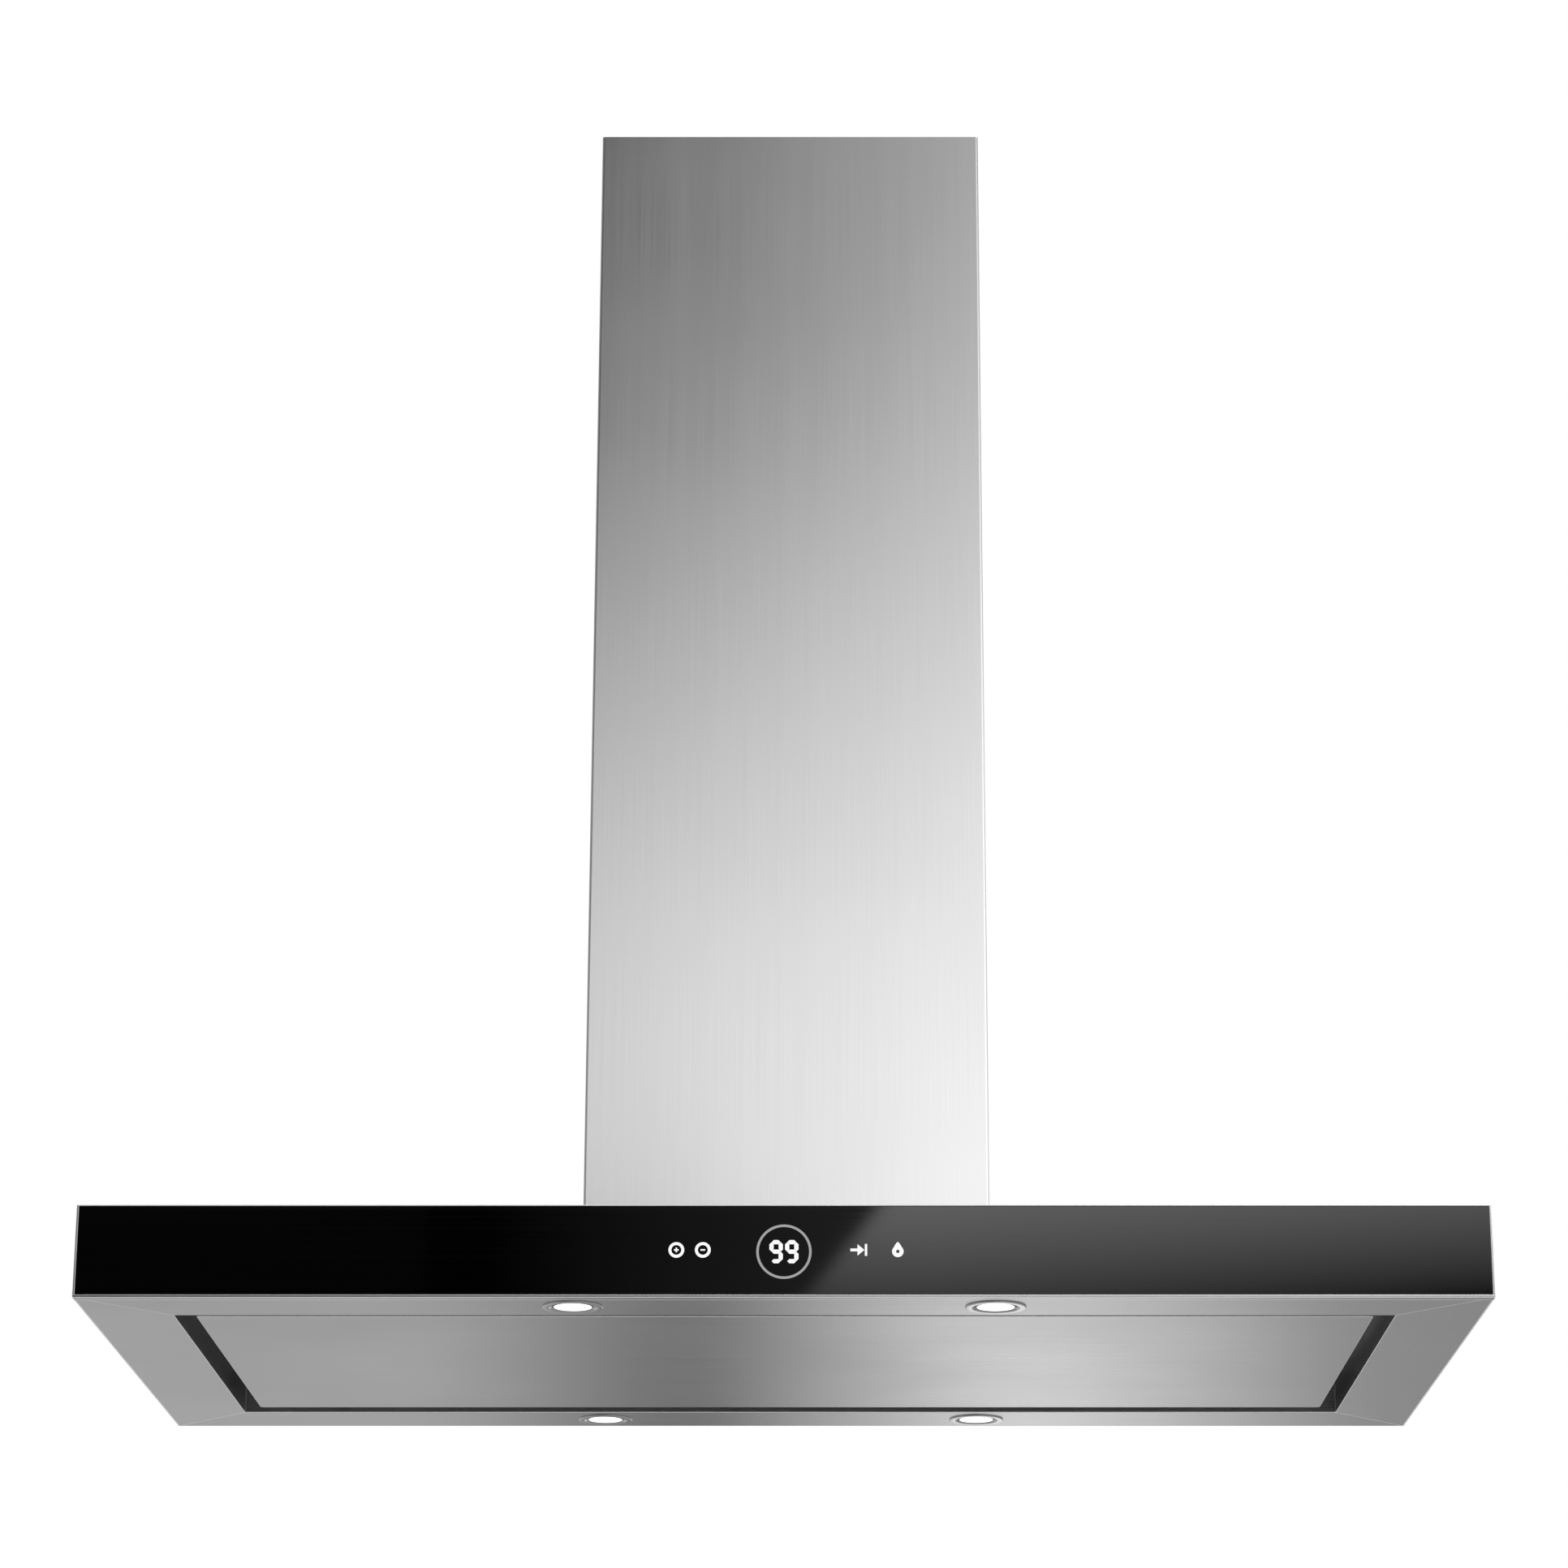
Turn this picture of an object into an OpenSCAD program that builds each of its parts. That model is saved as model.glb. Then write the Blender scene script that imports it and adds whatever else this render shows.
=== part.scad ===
// Island range hood. A flat steel canopy with a black glass front and an edge-suction panel
// hangs from the ceiling on a height-adjustable frame inside a telescopic chimney.
// The origin is the middle of the ceiling plate's top face, +Z is up and the controls face -Y.

/* [Canopy] */
// Width of the canopy
canopy_w = 1200; // [1180:10:1400]
// Depth of the canopy from front to back
canopy_d = 620; // [620:5:700]
// Height of the canopy's sides
canopy_h = 80; // [78:1:110]
// Height from the canopy's underside up to the ceiling
hood_h = 1165; // [1150:5:1300]
// Thickness of the folded sheet steel
sheet = 1.2; // [1:0.1:1.4]
// Width of the steel border round the suction opening
border = 75; // [74:1:76]
// Depth of the front fascia that holds the glass
fascia_d = 10; // [9:0.5:12]
// Thickness of the black front glass
glass_t = 5; // [4:0.5:6]

/* [Chimney] */
// Width of the chimney
chimney_w = 360; // [360:1:380]
// Depth of the chimney from front to back
chimney_d = 300; // [300:1:320]
// Radius of the chimney's folded corners
fold_r = 2.5; // [2:0.1:4]
// Height of the upper flue, which is hidden inside the chimney until the hood is lowered
flue_h = 430; // [400:5:450]
// Clearance between the chimney and the upper flue
flue_gap = 0.8; // [0.5:0.1:1]
// How far the hood can be lowered from its highest setting
drop = 300; // [200:10:320]

/* [Suction panel] */
// Gap between the panel and the border, front and back
slot_y = 16; // [14:1:18]
// Gap between the panel and the border, left and right
slot_x = 17; // [14:1:18]
// Thickness of the panel
panel_t = 13; // [13:0.5:14]
// How far the panel's face sits above the border's face
panel_recess = 2; // [1:0.5:3]
// Distance of the hinges from the middle of the panel
hinge_x = 430; // [400:5:460]

/* [Filters and lamps] */
// Distance between the middles of two grease filters
filter_pitch = 330; // [326:1:334]
// Depth of a grease filter from front to back
filter_d = 392; // [380:2:392]
// Thickness of a grease filter
filter_t = 11; // [10:0.5:11]
// Distance of a lamp from the middle of the hood
lamp_x = 180; // [120:5:300]
// Distance of a lamp from the canopy's front or back edge
lamp_inset = 38; // [36:0.5:40]
// Radius of a lamp's lens
lens_r = 17.5; // [16:0.5:18]

/* [Blower] */
// Radius of the fan wheel
wheel_r = 78; // [72:1:78]
// Width of the fan wheel
wheel_w = 120; // [100:2:120]
// Number of blades on the fan wheel
blades = 36; // [24:1:40]
// Outer radius of the duct collar
collar_r = 74.5; // [70:0.5:74.5]

/* [Hidden] */
$fn = 48;
steel = "silver";
zinc = "lightgray";
over = 1;

// Heights of the canopy's faces
zb = -hood_h;
zt = zb + canopy_h;
half_w = canopy_w / 2;
half_d = canopy_d / 2;
shell_front = -half_d + fascia_d;

// Opening inside the border
open_x = half_w - border;
open_y = half_d - border;
border_gap = 0.2;
border_outer_x = half_w - sheet - border_gap;
border_outer_y = half_d - sheet - border_gap;
border_front_y = half_d - fascia_d - border_gap;
inner_flange_h = 40;
outer_flange_h = 16;
outer_flange_cut = 12;

// Glass and what shows through it
rim_side = 1.9;
rim_top = 1;
rim_bottom = 2.7;
glass_gap = 0.15;
board_w = 250;
board_h = 52;
board_t = 1.6;
display_size = [64, 6, 40];
fascia_back = -half_d + glass_t + sheet;

// Chimney and flue
seam = 0.4;
shadow_gap = 1;
flue_w = chimney_w - 2 * (sheet + flue_gap);
flue_d = chimney_d - 2 * (sheet + flue_gap);
strip_w = 44;
strip_top = -flue_h - 12;
screw_rows = 4;
seam_screw_r = 1.8;
screw_head_h = 1.6;

// Ceiling plate
plate_w = flue_w - 2 * sheet;
plate_d = flue_d - 2 * sheet;
plate_t = 3;
plate_flange_h = 18;
bolt_x = 145;
bolt_y = 115;
bolt_r = 4.5;
duct_hole_r = 88;
cable_hole_r = 11;
cable_x = -110;

// Frame of angle irons: the upper ones slide inside the lower ones
angle_leg = 25;
angle_t = 2.5;
angle_gap = 0.5;
lower_x = plate_w / 2 - 4.8;
lower_y = plate_d / 2 - 4.8;
upper_x = lower_x - angle_t - angle_gap;
upper_y = lower_y - angle_t - angle_gap;
lower_top = -60;
clamp_z = -100;
clamp_inset = 14;
upper_bottom = clamp_z - drop - 60;
strap_h = 20;
lower_strap_z = upper_bottom - 40;
upper_strap_z = upper_bottom + 10;
bolt_shank_r = 3;
bolt_head_r = 5;
bolt_head_h = 4;
nut_r = 5.5;
nut_h = 5;

// Filters hang under a carrier plate
carrier_z = zb + inner_flange_h;
carrier_lap = 14;
filter_w = filter_pitch - 18;
filter_lap = 6;
filter_z = carrier_z - filter_t;
filter_edge = 12;
filter_front_edge = 22;
mesh_inset = 1.8;
mesh_pitch = 12;
mesh_t = 0.8;
hook_x = 80;
hook_w = 20;
latch_travel = 8;
latch_w = 18;
latch_h = 4;
latch_gap = 0.3;
latch_z = filter_z + 3.5;
latch_nose = 10;
tab_w = 30;
tab_t = 1.2;
knob_size = [28, 9, 3];
carrier_screw_r = 2;
carrier_screw_drop = 3;
neck_w = 10;
neck_d = 6;
knob_z = filter_z - 6;

// Suction panel
panel_x = open_x - slot_x;
panel_y = open_y - slot_y;
panel_z = zb + panel_recess;
panel_r = 3;
backing_t = 0.8;
hinge_y = panel_y - 14;
hinge_z = panel_z + 7;
hinge_pin_r = 3;
hinge_clear = 0.05;
arm_t = 4;
arm_r = 5;
ear_t = 2.5;
ear_gap = 0.5;
ear_back = 8;
notch_w = 12;
catch_x = 165;
catch_size = [44, 10];
strike_t = 1;
catch_gap = 0.3;

// Lamps
lamp_y = half_d - lamp_inset;
bezel_r = 26;
lamp_hole_r = 21.5;
bezel_proud = 1.5;
lamp_sleeve_h = 12;
lamp_top = 38;
cable_r = 2.5;
cable_z = zb + 48;
cable_side_x = half_w - 40;

// Blower: a drum wheel in a scroll, with its outlet upwards
scroll_r = 98;
scroll_wall = 1.5;
scroll_half_w = wheel_w / 2 + 10;
scroll_y = -46;
rail_h = 5;
rail_w = 20;
scroll_z = zt + rail_h + scroll_r + 1;
outlet_half = 52;
outlet_top = scroll_z + 150;
wheel_y = scroll_y - 4;
wheel_z = scroll_z - 6;
inlet_r = wheel_r - 8;
blade_depth = 12;
blade_t = 1;
disc_t = 2;
ring_t = 3;
hub_r = 14;
hub_from = -12;
hub_to = 4;
hub_cap = 2;
shaft_r = 5;
shaft_clear = 0.05;
motor_r = 44;
motor_from = 8;
motor_to = 88;
arm_x = scroll_half_w;
blower_open_x = 140;
blower_open_y = 115;

// Duct collar with two flaps on one rod
collar_wall = 2.5;
collar_h = 58;
collar_flange = 78;
collar_flange_t = 3;
flap_z = outlet_top + 26;
flap_r = collar_r - collar_wall - 1.5;
flap_t = 1.2;
flap_gap = 4.6;
rod_r = 2;
rod_clear = 0.05;
knuckle_r = 3.6;
ledge = 3.5;

// Electrical parts
control_low = [250, -298, zb + 22];
control_size = [150, 46, 36];
terminal_size = [66, 70, 50];
terminal_z = outlet_top - 62;
gland_h = 24;
gland_bore_r = 4;
capacitor_r = 17.5;
power_r = 3.5;
power_z = zt - 10;

// A box between two opposite corners
module block(low, high) {
    translate(low) cube(high - low);
}

module both_sides() {
    children();
    mirror([1, 0, 0]) children();
}

module both_ends() {
    children();
    mirror([0, 1, 0]) children();
}

module four_corners() {
    both_sides() both_ends() children();
}

// Extrudes an outline of Y and Z along X, from x0 to x1
module along_x(x0, x1) {
    translate([x0, 0, 0]) rotate([90, 0, 90]) linear_extrude(x1 - x0) children();
}

module rounded_rect(w, d, r) {
    square([w - 2 * r, d], center = true);
    square([w, d - 2 * r], center = true);
    for (x = [-1, 1], y = [-1, 1])
        translate([x * (w / 2 - r), y * (d / 2 - r)]) circle(r = r);
}

module rod_x(r, x0, x1) {
    translate([x0, 0, 0]) rotate([0, 90, 0]) cylinder(r = r, h = x1 - x0);
}

module rod_y(r, y0, y1) {
    translate([0, y1, 0]) rotate([90, 0, 0]) cylinder(r = r, h = y1 - y0);
}

module ring(r_out, r_in, h) {
    difference() {
        cylinder(r = r_out, h = h);
        translate([0, 0, -over]) cylinder(r = r_in, h = h + 2 * over);
    }
}

// Front half of a rectangular tube, open at the back
module half_tube(w, d, h) {
    intersection() {
        linear_extrude(h) difference() {
            rounded_rect(w, d, fold_r);
            rounded_rect(w - 2 * sheet, d - 2 * sheet, fold_r - sheet);
        }
        block([-w, -d, -over], [w, -seam / 2, h + over]);
    }
}

// Round cable through a list of points, with ball corners
module cable(points, r) {
    for (i = [1 : len(points) - 1]) {
        step = points[i] - points[i - 1];
        length = norm(step);
        turn = [0, acos(step[2] / length), atan2(step[1], step[0])];
        translate(points[i - 1]) rotate(turn) cylinder(r = r, h = length);
        if (i < len(points) - 1) translate(points[i]) sphere(r = r);
    }
}

// ---- Ceiling mount ----

module ceiling_plate() {
    color(zinc) difference() {
        translate([0, 0, -plate_flange_h]) linear_extrude(plate_flange_h)
            rounded_rect(plate_w, plate_d, fold_r - sheet);
        block([-plate_w / 2 + sheet * 2, -plate_d / 2 + sheet * 2, -plate_flange_h - over],
              [plate_w / 2 - sheet * 2, plate_d / 2 - sheet * 2, -plate_t]);
        translate([0, 0, -plate_t - over]) cylinder(r = duct_hole_r, h = plate_t + 2 * over);
        translate([cable_x, 0, -plate_t - over]) cylinder(r = cable_hole_r, h = plate_t + 2 * over);
        four_corners() translate([bolt_x, bolt_y, -plate_t - over])
            cylinder(r = bolt_r, h = plate_t + 2 * over);
    }
}

// Angle iron with its outer corner on the Z axis and its legs towards -X and -Y
module angle_iron(length) {
    difference() {
        block([-angle_leg, -angle_leg, 0], [0, 0, length]);
        block([-angle_leg - over, -angle_leg - over, -over], [-angle_t, -angle_t, length + over]);
    }
}

module upper_angles() {
    slot_x0 = lower_x - clamp_inset;
    slot_r = bolt_shank_r + 0.5;
    color(zinc) four_corners() difference() {
        translate([upper_x, upper_y, upper_bottom]) angle_iron(-plate_t - upper_bottom);
        block([slot_x0 - slot_r, upper_y - angle_t - over, clamp_z - drop],
              [slot_x0 + slot_r, upper_y + over, clamp_z]);
        for (z = [clamp_z, clamp_z - drop])
            translate([slot_x0, 0, z]) rod_y(slot_r, upper_y - angle_t - over, upper_y + over);
    }
}

// Four flat bars that tie the inner faces of four angle irons, whose corners are at x, y
module straps(x, y, z) {
    both_ends() block([-x + angle_t, y - 2 * angle_t, z], [x - angle_t, y - angle_t, z + strap_h]);
    both_sides() block([x - 2 * angle_t, -y + angle_t, z - strap_h - 5],
                       [x - angle_t, y - angle_t, z - 5]);
}

module upper_straps() {
    color(zinc) straps(upper_x, upper_y, upper_strap_z + strap_h);
}

module lower_straps() {
    color(zinc) straps(lower_x, lower_y, lower_strap_z);
}

module flue_front() {
    color(steel) translate([0, 0, -flue_h]) half_tube(flue_w, flue_d, flue_h);
}

module flue_rear() {
    mirror([0, 1, 0]) flue_front();
}

// ---- Chimney and hanging frame ----

// The screws that hold the two chimney halves to the seam strips
module seam_places() {
    step = (strip_top - zt - 80) / (screw_rows - 1);
    four_corners() for (i = [0 : screw_rows - 1])
        translate([0, strip_w / 4, zt + 40 + i * step]) children();
}

module seam_holes() {
    seam_places() rod_x(seam_screw_r, chimney_w / 2 - 3 * sheet, chimney_w / 2 + over);
}

module chimney_front() {
    color(steel) difference() {
        translate([0, 0, zt]) half_tube(chimney_w, chimney_d, -zt - shadow_gap);
        seam_holes();
    }
}

module chimney_rear() {
    mirror([0, 1, 0]) chimney_front();
}

module seam_strips() {
    x = chimney_w / 2 - sheet;
    color(zinc) difference() {
        both_sides() block([x - sheet, -strip_w / 2, zt + 5], [x, strip_w / 2, strip_top]);
        seam_holes();
    }
}

module seam_screws() {
    x = chimney_w / 2;
    color(steel) {
        seam_places() rod_x(3.5, x, x + screw_head_h);
        seam_places() rod_x(seam_screw_r, x - 2 * sheet - 3, x);
    }
}

module lower_angles() {
    color(zinc) four_corners() difference() {
        translate([lower_x, lower_y, zt]) angle_iron(lower_top - zt);
        translate([lower_x - clamp_inset, 0, clamp_z])
            rod_y(bolt_shank_r + 0.2, lower_y - angle_t - over, lower_y + over);
    }
}

module clamp_bolts() {
    nut_y = upper_y - angle_t - latch_gap;
    color("gray") four_corners() translate([lower_x - clamp_inset, 0, clamp_z]) {
        rod_y(bolt_head_r, lower_y, lower_y + bolt_head_h);
        rod_y(bolt_shank_r, nut_y - nut_h - 2, lower_y);
        difference() {
            translate([0, nut_y, 0]) rotate([90, 0, 0]) cylinder(r = nut_r, h = nut_h, $fn = 6);
            rod_y(bolt_shank_r + 0.02, nut_y - nut_h - over, nut_y + over);
        }
    }
}

// ---- Canopy ----

module canopy_shell() {
    color(steel) difference() {
        block([-half_w, shell_front, zb], [half_w, half_d, zt]);
        block([-half_w + sheet, shell_front - over, zb - over],
              [half_w - sheet, half_d - sheet, zt - sheet]);
        block([-blower_open_x, -blower_open_y, zt - 2 * sheet],
              [blower_open_x, blower_open_y, zt + over]);
    }
}

module front_fascia() {
    glass_back = -half_d + glass_t;
    mid_z = (zb + zt) / 2;
    color(steel) difference() {
        block([-half_w, -half_d, zb], [half_w, shell_front, zt]);
        block([-half_w + rim_side, -half_d - over, zb + rim_bottom],
              [half_w - rim_side, glass_back, zt - rim_top]);
        block([-half_w + rim_side, fascia_back, zb + rim_bottom],
              [half_w - rim_side, shell_front + over, zt - rim_bottom]);
        block([-board_w / 2, glass_back - over, mid_z - board_h / 2],
              [board_w / 2, fascia_back + over, mid_z + board_h / 2]);
    }
}

module front_glass() {
    color([0.02, 0.02, 0.025]) block(
        [-half_w + rim_side + glass_gap, -half_d, zb + rim_bottom + glass_gap],
        [half_w - rim_side - glass_gap, -half_d + glass_t, zt - rim_top - glass_gap]);
}

module touch_board() {
    y = -half_d + glass_t;
    mid_z = (zb + zt) / 2;
    color("darkgreen") block([-board_w / 2 + 1, y, mid_z - board_h / 2 + 1],
                             [board_w / 2 - 1, y + board_t, mid_z + board_h / 2 - 1]);
}

module display_module() {
    color("dimgray") translate([0, -half_d + glass_t + board_t + display_size[1] / 2, (zb + zt) / 2])
        cube(display_size, center = true);
}

// Where the border's mitre line lies in X, at a distance y from the middle
function mitre_x(y) = half_w - (half_d - y);

module lamp_hole(y) {
    both_sides() translate([lamp_x, y, zb - over]) cylinder(r = lamp_hole_r, h = sheet + 2 * over);
}

// Long border strip, drawn for the rear: outer_y is its outer edge
module long_border(outer_y) {
    end_x = min(mitre_x(outer_y), border_outer_x);
    difference() {
        union() {
            translate([0, 0, zb]) linear_extrude(sheet) polygon([
                [-open_x, open_y], [open_x, open_y], [end_x, outer_y], [-end_x, outer_y]]);
            block([-open_x, open_y, zb], [open_x, open_y + sheet, carrier_z]);
            block([-end_x + outer_flange_cut, outer_y - sheet, zb],
                  [end_x - outer_flange_cut, outer_y, zb + outer_flange_h]);
        }
        lamp_hole(lamp_y);
    }
}

module border_rear() {
    color(steel) long_border(border_outer_y);
}

module border_front() {
    color(steel) mirror([0, 1, 0]) long_border(border_front_y);
}

module border_right() {
    front_x = mitre_x(border_front_y);
    color(steel) {
        translate([0, 0, zb]) linear_extrude(sheet) polygon([
            [open_x, -open_y], [front_x, -border_front_y], [border_outer_x, -border_front_y],
            [border_outer_x, border_outer_y], [open_x, open_y]]);
        block([open_x, -open_y, zb], [open_x + sheet, open_y, carrier_z]);
        block([border_outer_x - sheet, -border_front_y + outer_flange_cut, zb],
              [border_outer_x, border_outer_y - outer_flange_cut, zb + outer_flange_h]);
    }
}

module border_left() {
    mirror([1, 0, 0]) border_right();
}

// ---- Filters ----

module latch_tab(x) {
    tab_y = -filter_d / 2 - 6;
    difference() {
        block([x - tab_w / 2, tab_y - tab_t, filter_z], [x + tab_w / 2, tab_y, carrier_z + over / 2]);
        block([x - latch_w / 2 - over, tab_y - 2 * tab_t, latch_z - over],
              [x + latch_w / 2 + over, tab_y + tab_t, latch_z + latch_h + over]);
    }
}

module carrier_screw_places() {
    for (x = [-450, -150, 150, 450]) both_ends()
        translate([x, open_y - 8, carrier_z - carrier_screw_drop]) children();
}

module filter_carrier() {
    x_out = open_x + carrier_lap;
    y_out = open_y + carrier_lap;
    hole_x = filter_w / 2 - filter_lap;
    hole_y = filter_d / 2 - 8;
    color(zinc) {
        difference() {
            block([-x_out, -y_out, carrier_z], [x_out, y_out, carrier_z + sheet]);
            for (x = [-filter_pitch, 0, filter_pitch])
                block([x - hole_x, -hole_y, carrier_z - over],
                      [x + hole_x, hole_y, carrier_z + sheet + over]);
            carrier_screw_places() cylinder(r = carrier_screw_r, h = carrier_screw_drop + 2 * sheet);
        }
        for (x = [-filter_pitch, 0, filter_pitch]) latch_tab(x);
    }
}

module carrier_screws() {
    color("gray") carrier_screw_places() {
        cylinder(r = 4, h = carrier_screw_drop);
        cylinder(r = carrier_screw_r, h = 10);
    }
}

module filter_frame(x) {
    half_x = filter_w / 2;
    half_y = filter_d / 2;
    hook_y = half_y - 11.5;
    color("lightgray") translate([x, 0, 0]) {
        difference() {
            block([-half_x, -half_y, filter_z], [half_x, half_y, carrier_z]);
            block([-half_x + filter_edge, -half_y + filter_front_edge, filter_z - over],
                  [half_x - filter_edge, half_y - filter_edge, carrier_z + over]);
            block([-latch_w / 2 - latch_gap, -half_y - over, latch_z - latch_gap],
                  [latch_w / 2 + latch_gap, -half_y + filter_front_edge - 2,
                   latch_z + latch_h + latch_gap]);
            block([-neck_w / 2 - latch_gap, -half_y + 3, filter_z - over],
                  [neck_w / 2 + latch_gap, -half_y + filter_front_edge - 2, latch_z]);
        }
        for (side = [-1, 1]) translate([side * hook_x - hook_w / 2, 0, 0]) {
            block([0, hook_y, carrier_z - over], [hook_w, hook_y + 3, carrier_z + sheet + 1.8]);
            block([0, hook_y, carrier_z + sheet + 0.3], [hook_w, half_y + 4, carrier_z + sheet + 1.8]);
        }
    }
}

// Pleated mesh: a zigzag sheet whose folds run from front to back
module filter_mesh(x) {
    half = filter_w / 2 - filter_edge;
    folds = 2 * floor(half / mesh_pitch);
    step = 2 * half / folds;
    low = filter_z + mesh_inset;
    rise = filter_t - 2 * mesh_inset - mesh_t;
    line = [for (i = [0 : folds]) [-half + i * step, low + (i % 2) * rise]];
    upper = [for (i = [folds : -1 : 0]) line[i] + [0, mesh_t]];
    color("gainsboro") translate([x, filter_d / 2 - filter_edge, 0]) rotate([90, 0, 0])
        linear_extrude(filter_d - filter_edge - filter_front_edge) polygon(concat(line, upper));
}

module latch(x) {
    nose_y = -filter_d / 2 - latch_nose;
    neck_y = -filter_d / 2 + 4;
    color("dimgray") translate([x, 0, 0]) {
        block([-latch_w / 2, nose_y, latch_z], [latch_w / 2, neck_y + neck_d, latch_z + latch_h]);
        block([-neck_w / 2, neck_y, knob_z], [neck_w / 2, neck_y + neck_d, latch_z + over]);
        block([-knob_size[0] / 2, neck_y, knob_z],
              [knob_size[0] / 2, neck_y + knob_size[1], knob_z + knob_size[2]]);
    }
}

module filter_frame_left() { filter_frame(-filter_pitch); }
module filter_frame_centre() { filter_frame(0); }
module filter_frame_right() { filter_frame(filter_pitch); }
module filter_mesh_left() { filter_mesh(-filter_pitch); }
module filter_mesh_centre() { filter_mesh(0); }
module filter_mesh_right() { filter_mesh(filter_pitch); }
module latch_left() { latch(-filter_pitch); }
module latch_centre() { latch(0); }
module latch_right() { latch(filter_pitch); }

// ---- Suction panel ----

module hinge_notches(depth, z0) {
    both_sides() block([hinge_x - notch_w / 2, panel_y - depth, z0],
                       [hinge_x + notch_w / 2, panel_y + over, panel_z + panel_t + over]);
}

module panel_face() {
    color(steel) difference() {
        translate([0, 0, panel_z]) linear_extrude(panel_t)
            rounded_rect(2 * panel_x, 2 * panel_y, panel_r);
        translate([0, 0, panel_z + sheet]) linear_extrude(panel_t)
            rounded_rect(2 * (panel_x - sheet), 2 * (panel_y - sheet), panel_r - sheet);
        hinge_notches(sheet + over, panel_z + sheet);
    }
}

module panel_backing() {
    x = panel_x - sheet - border_gap;
    y = panel_y - sheet - border_gap;
    top = panel_z + panel_t;
    color(zinc) {
        difference() {
            block([-x, -y, top - backing_t], [x, y, top]);
            hinge_notches(30, top - 2 * backing_t);
        }
        for (rib_y = [-1, 1] * 100)
            block([-x + 20, rib_y, panel_z + sheet], [x - 20, rib_y + sheet, top - backing_t / 2]);
    }
}

module panel_lugs() {
    top = panel_z + panel_t - backing_t;
    color(zinc) both_sides() for (side = [-1, 1]) {
        ear = hinge_x + side * (arm_t / 2 + ear_gap + ear_t / 2);
        foot = ear + side * 5;
        difference() {
            union() {
                block([ear - ear_t / 2, hinge_y - ear_back, panel_z + sheet],
                      [ear + ear_t / 2, hinge_y + ear_back, top - border_gap]);
                block([min(ear, foot) - ear_t / 2, hinge_y - ear_back, panel_z + sheet],
                      [max(ear, foot) + ear_t / 2, hinge_y + ear_back, panel_z + 2 * sheet]);
            }
            translate([0, hinge_y, hinge_z]) rod_x(hinge_pin_r, ear - ear_t, ear + ear_t);
        }
    }
}

module hinge_pins() {
    reach = arm_t / 2 + ear_gap + ear_t + 1;
    color("gray") both_sides() translate([0, hinge_y, hinge_z])
        rod_x(hinge_pin_r, hinge_x - reach, hinge_x + reach);
}

module hinge_brackets() {
    color(zinc) both_sides() difference() {
        union() {
            block([hinge_x - arm_t / 2, hinge_y - arm_r, hinge_z],
                  [hinge_x + arm_t / 2, hinge_y + arm_r, carrier_z]);
            translate([0, hinge_y, hinge_z]) rod_x(arm_r, hinge_x - arm_t / 2, hinge_x + arm_t / 2);
            block([hinge_x - 14, hinge_y - arm_r, carrier_z - 2.5],
                  [hinge_x + 14, open_y - 4, carrier_z]);
        }
        translate([0, hinge_y, hinge_z])
            rod_x(hinge_pin_r + hinge_clear, hinge_x - arm_t, hinge_x + arm_t);
    }
}

module panel_catches() {
    y = -filter_d / 2 - 7;
    z = panel_z + panel_t + strike_t + catch_gap;
    color("dimgray") both_sides() block([catch_x - catch_size[0] / 2, y - catch_size[1], z],
                                        [catch_x + catch_size[0] / 2, y, carrier_z]);
}

module strike_plates() {
    y = -filter_d / 2 - 7;
    z = panel_z + panel_t;
    color("gray") both_sides() block([catch_x - catch_size[0] / 2, y - catch_size[1], z],
                                     [catch_x + catch_size[0] / 2, y, z + strike_t]);
}

// ---- Lamps ----

module lamp_places() {
    four_corners() translate([lamp_x, lamp_y, zb]) children();
}

module lamp_bezels() {
    color("whitesmoke") lamp_places() {
        translate([0, 0, -bezel_proud]) ring(bezel_r, lens_r + 0.1, bezel_proud);
        ring(lamp_hole_r - 0.3, lens_r + 0.1, lamp_sleeve_h);
    }
}

module lamp_lenses() {
    color([1, 0.98, 0.9]) lamp_places() translate([0, 0, -bezel_proud / 2])
        cylinder(r = lens_r, h = 3);
}

module lamp_bodies() {
    fin_r = lamp_hole_r - 1;
    color("gray") lamp_places() translate([0, 0, lamp_sleeve_h]) {
        cylinder(r = lens_r - 3, h = lamp_top - lamp_sleeve_h);
        for (z = [0 : 5 : lamp_top - lamp_sleeve_h - 5]) translate([0, 0, z]) cylinder(r = fin_r, h = 2);
    }
}

module lamp_cable() {
    top = [0, 0, 1] * cable_z;
    low = [0, 0, 1] * (zb + lamp_top);
    front = [0, -lamp_y, 0];
    rear = [0, lamp_y, 0];
    side = [-cable_side_x, 0, 0];
    near = [lamp_x, 0, 0];
    color("black") {
        cable([[control_low[0], 0, 0] + front + top, side + front + top,
               side + rear + top, near + rear + top, near + rear + low], cable_r);
        for (drop_at = [near + front, front - near, rear - near])
            cable([drop_at + top, drop_at + low], cable_r);
    }
}

// ---- Blower ----

module scroll_outline(wall) {
    translate([scroll_y, scroll_z]) circle(r = scroll_r - wall, $fn = 96);
    translate([-outlet_half + wall, scroll_z])
        square([2 * (outlet_half - wall), outlet_top - scroll_z]);
}

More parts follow.
